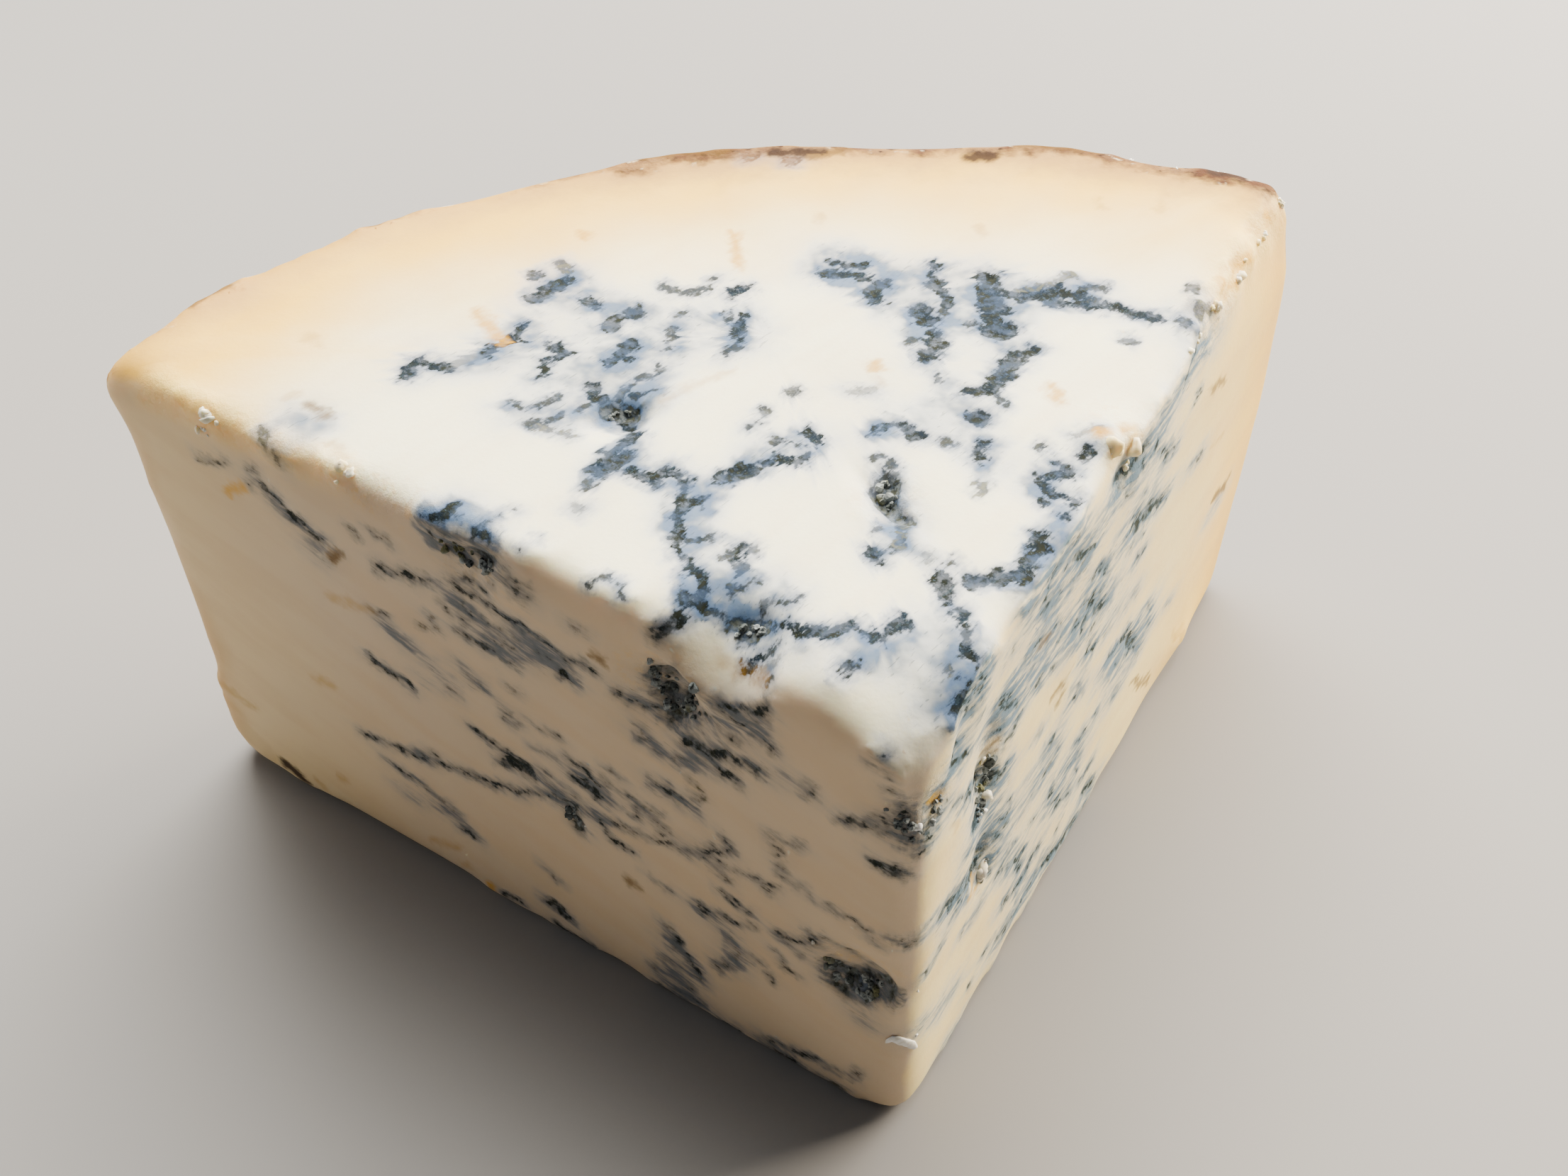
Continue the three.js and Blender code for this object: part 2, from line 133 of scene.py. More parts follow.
TOP_VEINS = [
    ("bold", (-23, 21.9), (-20.8, 23.4), (-18.6, 24.8)),
    ("dot", (-22.1, 26.2)),
    ("olive", (-19.3, 28.1), (-18.6, 26.2)),
    ("wash", (-18.6, 22.4), (-17.4, 20.6), (-16.7, 19.1)),
    ("vein", (-17.2, 20.2), (-16.5, 18.9)),
    ("bold", (-15.8, 14.8), (-14.3, 16.2), (-12.4, 16.7)),
    ("vein", (-37.3, 11.2), (-36.1, 13.9)),
    ("vein", (-36.1, 13.5), (-35.3, 12.7), (-33.1, 11.8)),
    ("faint", (-33.1, 11.8), (-29.1, 12.9)),
    ("vein", (-29.1, 12.9), (-27.4, 14.3), (-25.5, 15.5), (-24.6, 16.9)),
    ("wash", (-29.1, 12.9), (-25.5, 15.5)),
    ("vein", (-22.4, 12.9), (-21.2, 11), (-22.9, 10), (-23.9, 7.9)),
    ("wash", (-22.9, 10), (-23.9, 7.9)),
    ("vein", (-13.4, 11.2), (-15.3, 9.8), (-16.5, 8.6)),
    ("vein", (-15.6, 9.2), (-14.8, 8.6)),
    ("wash", (-16.5, 8.6), (-19.6, 6.7)),
    ("fine", (-9.1, 12.4), (-10, 10.5), (-10.3, 8.9)),
    ("wash", (-9.4, 11.4), (-10.3, 8.9)),
    ("fine", (-12, 6.2), (-12.2, 4.8), (-14.1, 5)),
    ("fine", (-2.9, 13.9), (-3.4, 12.4)),
    ("vein", (-1.5, 12.9), (-2.4, 11), (-2.7, 9.1)),
    ("wash", (-3.4, 12.4), (-2.9, 9.1)),
    ("fine", (-3.4, 8.1), (-5, 6.5)),
    ("fine", (-8.6, 20.8), (-7.7, 19.3), (-5.8, 18.9), (-3.9, 19.3), (-2.9, 20.5)),
    ("vein", (-2, 17.4), (0, 18)),
    ("dot", (-7.7, 15)),
    ("fine", (-27.9, 3.9), (-26.2, 2.4), (-24.3, 2.7)),
    ("fine", (-24.8, 2.2), (-22.7, 3.9)),
    ("fine", (-26.2, 0.5), (-24.3, 0.3), (-22.4, 0.8)),
    ("wash", (-27.4, 2.6), (-23.4, 1.2)),
    ("olive", (-25, -0.4), (-23.9, -1.6), (-22.4, -2.8)),
    ("fine", (-20.8, 1.2), (-19.6, 2)),
    ("vein", (-19.1, 4.8), (-18.6, 2.4)),
    ("gape", (-18.3, -0.2), (-17.2, -0.7), (-16.1, -1.4)),
    ("fine", (-17, 1.5), (-15.8, 3.4), (-15, 3.9)),
    ("fine", (-14.8, 2), (-13.4, 2.4)),
    ("wash", (-16.4, 2.8), (-13.6, 1.4)),
    ("vein", (-16.8, -2.3), (-16.6, -3.4), (-16.1, -4.3), (-17.3, -5.2), (-19.1, -6.2)),
    ("bold", (-20.7, -8.8), (-19.1, -8.2), (-17.3, -7)),
    ("vein", (-17.7, -9.6), (-16.4, -10.5), (-15.7, -11.8), (-14.8, -10.9), (-13.8, -10.4)),
    ("vein", (-13.4, -11.2), (-12.7, -12.3), (-13.2, -13.8), (-13.4, -15.2), (-14.3, -16.8)),
    ("vein", (-14.3, -16.8), (-13.2, -15.7), (-12.1, -15.5), (-10.9, -15.4)),
    ("fine", (-11.6, -16.4), (-11.6, -17.1)),
    ("wash", (-13.6, -12), (-12.6, -16)),
    ("vein", (-14.5, -17.5), (-14.5, -19.1), (-15, -20.2), (-15, -22.3), (-14.5, -24.6)),
    ("vein", (-14.5, -24.6), (-13.8, -25.9), (-13.8, -27.3), (-14.1, -28)),
    ("fine", (-15, -20.6), (-13.4, -20.8), (-11.8, -21)),
    ("wash", (-14.2, -19), (-13, -24), (-13.4, -27)),
    ("vein", (-15.5, -27.5), (-15.2, -28.4), (-14.3, -28.8), (-14.5, -29.6)),
    ("vein", (-15.7, -28.2), (-16.1, -29.8), (-17, -31.1), (-18.2, -31.8), (-19.3, -32.5)),
    ("fine", (-14.3, -30.2), (-13, -31.2), (-12, -32), (-10.7, -32.7), (-9.6, -32.3)),
    ("fine", (-9.6, -32.3), (-9.1, -30.9), (-8.6, -30.4)),
    ("gape", (-12.1, -32.9), (-11.2, -34.0), (-10.9, -33.2), (-9.8, -33.4)),
    ("vein", (-9.5, -22.7), (-9.8, -23.8), (-10.4, -24.8), (-10.2, -26.2)),
    ("dot", (-8.6, -23.5)),
    ("dot", (-10.5, -23.6)),
    ("pool", (-10.2, -26.6), (-8.2, -28.8)),
    ("dot", (-11.1, -28)),
    ("dot", (-9.4, -27.6)),
    ("fine", (-8.9, -30.2), (-7.7, -30.5), (-6.4, -30.5)),
    ("wash", (-12, -31), (-7, -31)),
    ("vein", (-8.4, -33.8), (-7.5, -34.1), (-7, -35.4), (-5.9, -35), (-4.1, -35.4)),
    ("vein", (-4.1, -35.4), (-2.3, -35), (-1.1, -36.2), (0.1, -37), (1.8, -36.2), (1.9, -35.7)),
    ("pool", (-6, -36.8), (-1, -37.6), (3, -38.4)),
    ("fine", (-14.8, -37.5), (-14.1, -37.5)),
    ("vein", (-12.3, -38.4), (-10.9, -37.3)),
    ("fine", (-10.2, -37), (-9.1, -35.9)),
    ("faint", (-10.9, -38.8), (-9.8, -38)),
    ("vein", (-4.6, -40.5), (-4.1, -40), (-3.2, -39.3), (-2.7, -39.5)),
    ("bold", (-9.3, -12.9), (-8.2, -12.9), (-6.8, -11.8), (-6.1, -12.3)),
    ("vein", (-4.5, -11.8), (-3.6, -11.2), (-2.7, -11.2), (-1.6, -12), (-0.7, -11.8)),
    ("dot", (-3.6, -10.2)),
    ("dot", (-2.9, -8.6)),
    ("fine", (-2, -8.9), (-0.4, -9.8)),
    ("pool", (-3.4, -10.4), (-1, -10.6)),
    ("fine", (-4.9, -5.8), (-4.1, -5.2)),
    ("dot", (-2.9, -3.8)),
    ("vein", (0.5, -8), (1, -9.3)),
    ("dot", (0.7, -1.2)),
    ("faint", (6, -2.7), (8.4, -3.4)),
    ("vein", (6.8, -9.6), (7.8, -8.8), (9.6, -9.1), (10, -9.8)),
    ("vein", (10, -9.8), (10.3, -11.4), (11, -11.2)),
    ("wash", (8, -9.2), (12.6, -10.6)),
    ("fine", (5.9, -13.6), (7.1, -14.1), (7.3, -15.2)),
    ("fine", (6.9, -16.2), (5.7, -16.8)),
    ("gape", (6.4, -17.3), (5.9, -18.4), (4.6, -19.3), (5, -20.9), (5.5, -21.6), (6, -22.7)),
    ("dot", (3.5, -23.4)),
    ("olive", (5.5, -23.8), (5, -25.2), (4.4, -26.2)),
    ("fine", (4.4, -26.2), (2.8, -27), (1.9, -27.3)),
    ("vein", (1.9, -26.4), (2.4, -27.8)),
    ("wash", (5.6, -21), (4.8, -26)),
    ("faint", (6.2, -27.7), (6.9, -28.8)),
    ("dot", (8.7, -29.6)),
    ("vein", (7.1, -31.2), (6.8, -32.7), (6.9, -34.1), (6.8, -35.5), (7.5, -35.9)),
    ("vein", (7.5, -35.9), (7.3, -37.7), (6.9, -38.8), (6.4, -40.2), (6.8, -40.9)),
    ("pool", (2.5, -36.6), (6.4, -40.6)),
    ("olive", (3.2, -42.5), (4.6, -41.6)),
    ("vein", (5, -43.4), (5.5, -44.8), (4.6, -47), (2.5, -46.2), (1, -47.7)),
    ("vein", (6.9, -42.3), (6.8, -44.8), (6.4, -45.9)),
    ("pool", (5.6, -43), (4, -45)),
    ("bold", (9.8, -32.3), (11.8, -32.5), (13.5, -32.7), (15, -31.8), (16, -30.9), (17.1, -30.2)),
    ("vein", (17.1, -30.2), (16.6, -29.5), (17.5, -28), (18.5, -28.4), (18.9, -29.5)),
    ("vein", (18.9, -29.5), (19.6, -29.1), (20.1, -26.6)),
    ("vein", (20.3, -20.2), (20, -21.6), (19.4, -23.8)),
    ("vein", (20, -22), (20.7, -22.7), (22.5, -24.5), (21.6, -25.4)),
    ("vein", (21, -20), (23.4, -20.5), (23.5, -19.5), (22.7, -18.4)),
    ("pool", (21, -21), (22, -24)),
    ("dot", (22.3, -15.9)),
    ("vein", (25.3, -18.4), (26.4, -17.7)),
    ("faint", (26, -15.2), (28.5, -14.8)),
    ("dot", (13.2, -13)),
    ("vein", (15.3, -16.6), (16, -14.8), (17.1, -14.1)),
    ("wash", (15.3, -16.6), (16, -14.8)),
    ("wash", (13.9, -7.7), (15.3, -7.9)),
    ("blob", (17.6, -10)),
    ("fine", (20.5, -6.8), (20.5, -8.7)),
    ("bold", (17.8, -5.7), (20, -5.7), (21.8, -4.1), (23.5, -2), (24.6, -1.2), (26.4, -0.7)),
    ("fine", (15.5, -2.1), (15.7, -3.4)),
    ("olive", (14.2, -20.9), (14.6, -19.8)),
    ("bold", (9.2, 18.9), (10.6, 18.2)),
    ("vein", (10.4, 20.4), (11.6, 19.6), (13.7, 19.1)),
    ("vein", (11.2, 18.2), (12.4, 17.2), (13.4, 16.4)),
    ("bold", (13.2, 12.4), (13.4, 14.1), (14.9, 15.4)),
    ("wash", (11.3, 22), (12.2, 18), (14, 14)),
    ("wash", (10.4, 19), (14.4, 17)),
    ("vein", (21, 17), (20, 13.5), (20.5, 11), (20, 9)),
    ("wash", (20.5, 15), (18.4, 9)),
    ("blob", (17.3, 7.4)),
    ("blob", (17.5, 9.4)),
    ("dot", (19.5, 8.3)),
    ("dot", (14.7, 4.2)),
    ("bold", (17.4, 4.6), (16.8, 2.5), (15.3, 0.7)),
    ("bold", (26.3, 13.6), (24.7, 10.4), (24.2, 7.8), (24, 5.2)),
    ("vein", (26.8, 12.5), (25.8, 9.4), (25.8, 6.7)),
    ("blob", (23.4, 4.2), (24.8, 3.4)),
    ("fine", (21.6, 5.4), (22.6, 5.7)),
    ("wash", (25.6, 12), (24.6, 5)),
    ("olive", (28.7, 10.2), (32.1, 10.4), (34.7, 11.5)),
    ("vein", (27.4, 9.6), (30.2, 9.5), (33.4, 9.6)),
    ("vein", (28.4, 8.6), (31.4, 8.5), (34.8, 8)),
    ("wash", (29, 9.4), (35, 7.4)),
    ("vein", (31, 7.3), (34.7, 5.7), (37.4, 4.6), (39.5, 2.5), (41.3, 1.6)),
    ("fine", (35.3, 8.8), (37.9, 8.3)),
    ("dot", (35.8, 6.2)),
    ("dot", (47.4, 5.7)),
    ("olive", (46, 1), (46.8, 2.5), (47.9, 1.5)),
    ("dot", (43.7, 0.4)),
    ("vein", (43.7, -3.8), (41.6, -6.7), (39.5, -9.6)),
    ("vein", (-37.3, -12.3), (-36.6, -12), (-34.8, -11.4)),
    ("fine", (-34.8, -11.4), (-34.3, -12.3)),
    ("vein", (-37.1, -12.7), (-36.8, -14.5)),
    ("fine", (-36.8, -14.5), (-35.2, -16.2), (-33.8, -17.3), (-32.5, -19.5)),
    ("pool", (-35.4, -13), (-34, -15.4)),
    ("fine", (-29.5, -12.5), (-31.2, -13.2), (-32.5, -14.3), (-33.4, -16.6)),
    ("wash", (-35.4, -13.4), (-33.4, -15.4)),
    ("fine", (-28, -17.9), (-29.1, -18.4)),
    ("dot", (-32, -16.4)),
    ("dot", (-35.7, -14.3)),
    ("fine", (-31.8, -17.5), (-31.4, -19.2), (-30.9, -20.9)),
    ("fine", (-23.6, -24.3), (-22.7, -24.1), (-21.6, -24.6)),
    ("fine", (-21.3, -25.7), (-21.2, -26.6)),
    ("olive", (-52, 4.8), (-50.8, 1.5), (-50.3, 0)),
    ("vein", (-3.3, -50.3), (-2.9, -49.7)),
    ("dot", (-21.8, -10.7)),
    ("dot", (36.8, -1.6)),
    ("faint", (-22.7, -14.3), (-23.6, -14.0)),
    ("ochre", (-15.8, 33.4), (-15.8, 32.6)),
    ("ochre", (-29.3, 21), (-28.2, 18), (-27.2, 14.8)),
    ("ochre", (0, 22.5), (0.6, 26), (1, 29.4)),
    ("tan", (-47.2, 21.5), (-46.2, 19.1)),
    ("brown", (-47.4, 8.8), (-46.5, 7.6), (-45.8, 6.4)),
    ("wash", (-49.2, 6.6), (-47, 5.2)),
    ("tan", (-48.9, 11.2), (-49.4, 10.6)),
    ("tan", (-12.4, 0.5), (-9.6, 2.2), (-4.6, 3.4)),
    ("ochre", (9.9, 0.2), (9.9, 1.0)),
    ("tan", (9.5, -2.2), (9.5, -1.6)),
    ("ochre", (26, -9.2), (26.2, -7)),
    ("tan", (-17, -37.1), (-15.2, -37.1), (-13.8, -36.6)),
    ("tan", (55.8, 9.9), (56.4, 10.6)),
    ("tan", (61.3, 17.5), (61.9, 18.4)),
    ("tan", (50, 21.7), (50.3, 22.5)),
    ("tan", (43.4, 24.1), (43.7, 25.6)),
    ("tan", (28.2, 22), (28.4, 23.4)),
    ("tan", (11, 29.4), (11.3, 30.6)),
    ("tan", (-59.3, 12.9), (-57.7, 10)),
    ("tan", (-45.2, 1.6), (-44.6, -1.4)),
    ("ochre", (30.6, -15.2), (31.4, -16.0)),
    ("ochre", (61.4, 18), (60.8, 16.8)),
    ("ochre", (55.8, 10), (55.4, 8.8)),
    ("ochre", (50.8, 6.2), (50.4, 5.2)),
    ("olive", (46.4, 2.2), (46.1, 1.2)),
    ("wash", (44.1, 0.8), (43.8, -0.6)),
    ("ochre", (27.9, -15.3), (28.9, -15.6)),
    ("pool", (0.5, -38), (5.5, -40)),
    ("pool", (2.8, -44), (1.8, -47)),
    ("wash", (16, -36), (19, -33)),
    ("grey", (6.2, 45.4), (6.8, 45.6)),
    ("grey", (10.9, 43.2), (11.5, 43.4)),
    ("crust", (-6.8, 48.9), (-1.6, 48.6), (3.6, 47.7)),
    ("char", (9.6, 45.8), (13.4, 44.8), (15.3, 44.3)),
    ("crust", (13.7, 43.8), (17.4, 44.1)),
    ("char", (32.4, 38.7), (33.6, 38.8), (34.8, 38.2)),
    ("crust", (39.1, 39.8), (44, 38.1), (48, 36.5)),
    ("char", (59.7, 28.6), (61.2, 27.8), (62.4, 26.7)),
    ("crust", (-57.6, 33.2), (-55.8, 34.2)),
    ("crust", (-59.8, 31.4), (-58.2, 32.4)),
    ("crust", (-36.6, 43.9), (-34.8, 44.5)),
    ("crust", (-39.8, 43.1), (-38.2, 43.6)),
]

LEFT_VEINS = [
    ("fine", (86.9, 55), (84.9, 55), (82.6, 56.2)),
    ("dot", (79.9, 54.4)),
    ("fine", (79.2, 56.6), (78, 57.1)),
    ("bold", (77.8, 55), (76.7, 54.4), (74.9, 52.8), (73, 51.6), (71.2, 51)),
    ("wash", (76, 53), (71.2, 51), (72.2, 47.8)),
    ("brown", (69.6, 49.1), (69, 50)),
    ("ochre", (84, 51.4), (83, 52.5), (81.2, 53.5)),
    ("dot", (65.1, 55)),
    ("fine", (62.6, 56), (60.3, 56)),
    ("vein", (62.6, 51), (60.3, 51.6), (57.1, 52.5), (55.1, 53.1)),
    ("olive", (58.4, 45.2), (56.2, 45.8)),
    ("faint", (57, 47.1), (56.2, 47.5)),
    ("fine", (65.3, 43.6), (63.3, 43.9)),
    ("tan", (72.1, 42.1), (68.8, 42.9), (65.3, 43.5)),
    ("wash", (64, 42.3), (61, 40.7)),
    ("faint", (63.4, 41.8), (61.8, 41)),
    ("wash", (57.6, 39.4), (57.2, 39.2)),
    ("wash", (59.4, 36), (59, 36)),
    ("faint", (56, 37.2), (55, 36.8)),
    ("wash", (53, 41.4), (50.7, 39.9)),
    ("faint", (52.6, 41), (51.2, 40.2)),
    ("bold", (67.4, 35), (65.3, 34.4), (62.6, 33.7)),
    ("tan", (78.7, 25.3), (76.2, 26.2)),
    ("vein", (72.6, 19.4), (70.3, 20), (67.6, 20.5), (64.9, 20.7), (63.5, 21.2)),
    ("fine", (63.5, 21.2), (62.1, 23), (60.8, 23.2)),
    ("vein", (60.3, 22.1), (58.6, 22.4), (56.7, 22.9), (54.1, 23.4), (52, 23.7), (50.4, 24.2)),
    ("vein", (50.4, 24.2), (48.8, 24.8), (47.2, 25.8), (46.2, 26.3), (44.6, 26.6), (43.8, 27.4)),
    ("vein", (63.5, 21.2), (61.8, 21.8), (60.3, 22.1)),
    ("faint", (70.3, 16.9), (67.6, 16.2), (64, 15.5), (61.7, 14.6)),
    ("vein", (68.4, 16.4), (66, 15.9)),
    ("wash", (62.8, 13), (60.6, 13.5)),
    ("faint", (61.4, 13.6), (60.2, 13.8)),
    ("wash", (58.5, 11.4), (57.6, 10.7)),
    ("vein", (58.7, 11.3), (57.8, 11.0)),
    ("wash", (67.8, 11.9), (67.2, 11.7)),
    ("tan", (79.6, 7.2), (78.8, 7.4)),
    ("tan", (65.3, 4.8), (61.2, 6.2)),
    ("tan", (60.6, 3.2), (60, 3.4)),
    ("ochre", (56.4, 0.8), (56.4, 1.8)),
    ("vein", (54.6, 1.5), (52, 2.1)),
    ("tan", (98.5, 13.2), (95.8, 12.6), (93, 12.2)),
    ("char", (90.6, 3), (89, 2.6), (87.6, 1.8)),
    ("peach", (98, 8.6), (96.4, 5.4), (94, 3.6)),
    ("tan", (84.6, 3.2), (83.6, 2.4)),
    ("vein", (54, 60.2), (53.3, 59.7)),
    ("gape", (51.4, 59.7), (49.6, 59.7), (48.3, 60.2), (47.2, 59.9), (46.4, 60.7)),
    ("fine", (45.1, 57.9), (44, 59), (42.6, 58.6), (42.2, 57.3), (43.2, 56.3), (44.6, 56.6)),
    ("dot", (43.6, 57.6)),
    ("dot", (47, 57.2)),
    ("vein", (50.4, 56), (48.8, 55.8), (47.8, 55.7)),
    ("vein", (52.5, 54.4), (50.9, 54), (49.3, 54.1), (47.8, 53.9), (46.2, 53.1), (43.5, 52.8)),
    ("vein", (43.5, 52.8), (42.2, 52.4), (40.4, 51.8), (38.8, 51.4), (35.4, 51.6)),
    ("vein", (51.4, 51.8), (50.4, 50.7)),
    ("fine", (52, 51.2), (49.6, 51), (47.2, 50.8), (45.1, 50.7)),
    ("fine", (52.5, 50.4), (51.4, 49.1), (52.2, 47.8)),
    ("vein", (52.8, 47.2), (50.7, 46.9), (48.8, 46.8), (46.4, 46.4)),
    ("fine", (48.8, 48.1), (47.2, 48.5), (45.4, 49.1)),
    ("vein", (42.5, 50.4), (40.9, 49.9), (39.6, 49.3), (38.5, 48.7)),
    ("blob", (39.2, 48.9)),
    ("wash", (52, 52), (47, 49), (42, 51)),
    ("wash", (50, 47.4), (44, 48), (40, 50)),
    ("dot", (54.2, 49.9)),
    ("faint", (47.2, 42.8), (46.4, 42.5)),
    ("fine", (45.1, 38.6), (43.8, 38.2), (42.5, 38.1), (41.2, 38.6)),
    ("fine", (47.9, 38.1), (48.6, 36.8)),
    ("fine", (46.6, 37.2), (47.2, 36.6)),
    ("faint", (34.8, 36.9), (33.8, 36.7)),
    ("brown", (35, 53.7), (34.2, 53.4)),
    ("faint", (37.1, 56.5), (36.2, 56.4)),
    ("vein", (39.9, 35.6), (38.8, 35.3), (37.8, 34.4), (38.6, 33.3), (40.4, 32.8)),
    ("fine", (36.2, 35.4), (35.7, 34.7), (34.3, 34.5)),
    ("fine", (37.2, 33.9), (35.7, 34)),
    ("vein", (39.9, 32.6), (38, 32.3), (37, 32), (37.2, 31.1)),
    ("fine", (35.9, 32.8), (36.7, 31.6)),
    ("wash", (39, 34.2), (36.6, 32.6)),
    ("faint", (45.1, 34.3), (43, 34.4)),
    ("faint", (44.2, 31.1), (43.4, 30.9)),
    ("faint", (40.3, 29.8), (39.4, 29.6)),
    ("fine", (32.8, 34.4), (30.9, 34.3), (28.8, 34.3)),
    ("vein", (31.7, 33.6), (32, 32.3), (32.6, 31.5)),
    ("fine", (30.4, 32.8), (29.1, 32.6), (27.8, 32)),
    ("dot", (29.2, 31.2)),
    ("vein", (53.8, 32), (52.2, 31.6), (50.9, 30.8), (48.8, 30.6), (46.7, 30.3)),
    ("blob", (50.1, 28.7), (48.8, 29.5), (46.2, 29.2)),
    ("faint", (45.1, 29.8), (43, 28.7), (40.9, 28.3), (38.3, 28.2)),
    ("wash", (44.4, 29.4), (39.4, 28.2)),
    ("gape", (41.7, 27.4), (40.9, 26.6), (41.2, 25.3), (40.4, 24.2), (40.5, 23.7)),
    ("vein", (37.2, 27.9), (36.7, 25.8), (35.7, 25.3), (33.3, 25)),
    ("fine", (43.8, 27.4), (40.2, 27.9), (36.7, 28.4)),
    ("fine", (36.7, 28.4), (34.6, 28.4), (33, 28.7), (30.4, 29.3), (27.8, 29.9), (26.1, 30.4)),
    ("fine", (26.1, 30.4), (23.4, 31.1), (21.6, 31.2), (19.2, 31.5), (17.1, 31.8), (15, 32.3)),
    ("vein", (24, 32), (22.7, 32.4), (21.6, 33.3), (20.8, 34.4), (21.1, 35.3)),
    ("fine", (22.7, 29.9), (22.2, 29.1), (21.7, 29.9), (21.1, 28.9)),
    ("dot", (16.1, 30.6)),
    ("fine", (30.9, 22), (29.6, 21.7), (28.7, 21.6)),
    ("vein", (25, 21.9), (24.2, 20.9), (23.4, 21.6), (21.9, 22.3), (20.4, 22.5)),
    ("wash", (24.2, 20.2), (21.4, 21)),
    ("vein", (21.5, 26), (20.2, 25.2)),
    ("vein", (20.4, 26.2), (18.8, 25.2)),
    ("dot", (18.2, 23.2)),
    ("fine", (15.5, 21.1), (14.5, 20.3), (15, 19.5), (13.2, 18.8)),
    ("fine", (18.4, 17.7), (17.3, 17.7)),
    ("dot", (15.9, 15.6)),
    ("wash", (20.8, 18.2), (20.3, 17.1), (20.8, 14.5)),
    ("faint", (20.8, 18.2), (20.3, 17.1), (20.8, 14.5)),
    ("vein", (21.7, 13.1), (23.2, 12.4), (22.9, 11.6)),
    ("faint", (29.7, 14.5), (28.9, 14.3)),
    ("vein", (28.3, 13.2), (28.6, 11.1), (27.2, 10.6)),
    ("vein", (27.2, 9.8), (25.9, 8.7), (25.7, 7.7)),
    ("fine", (30.4, 7.7), (28.3, 7.9)),
    ("dot", (32.2, 4.9)),
    ("dot", (27.2, 4.5)),
    ("fine", (29.1, 2.4), (25.7, 2.6)),
    ("fine", (30.9, 1.1), (28.3, 1.1)),
    ("wash", (29.4, 12), (28, 6), (30, 2)),
    ("wash", (27, 9.4), (31, 3.4)),
    ("bold", (47.2, 5.6), (46.2, 5.4), (44.6, 4.8)),
    ("faint", (46.4, 12.1), (45.1, 11.3)),
    ("brown", (34.1, 19.2), (33.5, 19)),
    ("vein", (17.1, 2.7), (15.6, 3.2), (14, 3.7), (12.1, 4.2), (10.3, 4.5)),
    ("fine", (10.3, 4.5), (8.4, 4.5), (6.6, 4.5), (5.5, 6.3), (5.3, 6.9)),
    ("vein", (16.9, 1.3), (15.6, 0.8), (13.4, 0.8)),
    ("gape", (28.4, 54.6), (27.2, 56.2), (25.4, 56.6)),
    ("gape", (24.4, 55.6), (24.2, 53.2), (25.4, 51.2), (26.6, 49.8)),
    ("gape", (26.2, 54.6), (26.2, 52), (27.4, 53.4)),
    ("vein", (32.4, 49.7), (30.6, 49.9), (27.7, 50.8)),
    ("fine", (23.3, 52.8), (22.1, 53.1), (20.8, 53.3)),
    ("vein", (20.8, 54.4), (19.2, 54.1), (18.2, 54.1), (17.1, 54.9)),
    ("vein", (17.1, 54.9), (16.6, 53.7), (15.5, 53.3), (15.2, 52.9)),
    ("vein", (20.8, 55.2), (19.2, 55.4), (18.2, 56.2), (16.9, 56.6), (15.8, 57.7), (15.7, 58.6)),
    ("wash", (30, 51), (22, 52), (17, 55)),
    ("dot", (19.2, 51.5)),
    ("bold", (24.8, 47.8), (22.9, 47.8), (21.3, 48.3), (20.3, 48.9), (19.2, 48.6), (17.1, 48.5)),
    ("vein", (22.4, 47), (21.6, 46.5), (20.8, 45.8), (19.5, 45.8)),
    ("faint", (22.4, 46.5), (24.6, 45.2), (26.7, 44.3), (28.3, 44.4), (30.5, 44.9), (30.4, 46.5)),
    ("wash", (23.4, 46), (26.7, 44.6), (30.2, 45.2)),
    ("vein", (29, 38.9), (27.4, 39.1), (25.6, 38.3)),
    ("wash", (29, 38.5), (25.6, 38.1)),
    ("olive", (24.6, 41.9), (23.6, 41.4), (23.5, 40.3), (24.4, 39.8)),
    ("fine", (15.8, 39.9), (14.5, 40.1), (13.2, 40.4), (12.1, 41.1)),
    ("fine", (15.3, 38.6), (14.8, 38.3), (15.3, 37.3)),
    ("wash", (14.6, 49.9), (13.8, 49.5)),
    ("fine", (11.7, 48.6), (11.1, 49.9)),
    ("dot", (14.4, 35.7)),
    ("fine", (14.5, 34.7), (12.9, 33.9), (12.1, 34.7), (11.1, 33.3)),
    ("fine", (9, 33.3), (7.1, 33.5), (5, 33)),
    ("fine", (2.1, 33.3), (1.3, 33.9), (0.2, 34.3)),
    ("faint", (4.4, 31.6), (3.6, 31.4)),
    ("bold", (3.7, 43.9), (1.6, 44.3)),
    ("vein", (7.9, 47.6), (6.3, 48.2), (4.2, 48.7), (2.9, 49.1)),
    ("vein", (4.5, 49.9), (3.2, 50.2), (2.4, 50.8), (1.6, 50.4)),
    ("dot", (1.3, 48.6)),
    ("dot", (3.5, 59.1)),
    ("dot", (2.4, 59.2)),
    ("fine", (5.3, 57), (4.6, 56.8), (3.8, 56.9), (3, 56.7)),
    ("dot", (3.3, 55.0)),
    ("fine", (11.3, 27.5), (9.5, 28.2), (6.1, 28.4), (3.7, 28.3)),
    ("vein", (15.2, 24.2), (14, 24.5), (12.1, 25.2), (10.8, 26.3), (10.8, 27.1)),
    ("fine", (14.2, 23.4), (12.9, 22.9)),
    ("gape", (9.2, 24.4), (7.6, 24.6), (6.3, 24), (4.6, 25.8), (2.4, 26.2)),
    ("gape", (8.6, 22.6), (8.2, 20.8), (6.8, 20.4), (6.2, 22)),
    ("gape", (4.8, 21.6), (3.8, 23.2), (2.2, 23.8), (1.9, 25.6)),
    ("wash", (9, 22), (5, 24), (2, 25)),
    ("wash", (5.4, 16.8), (4.6, 16.6)),
]

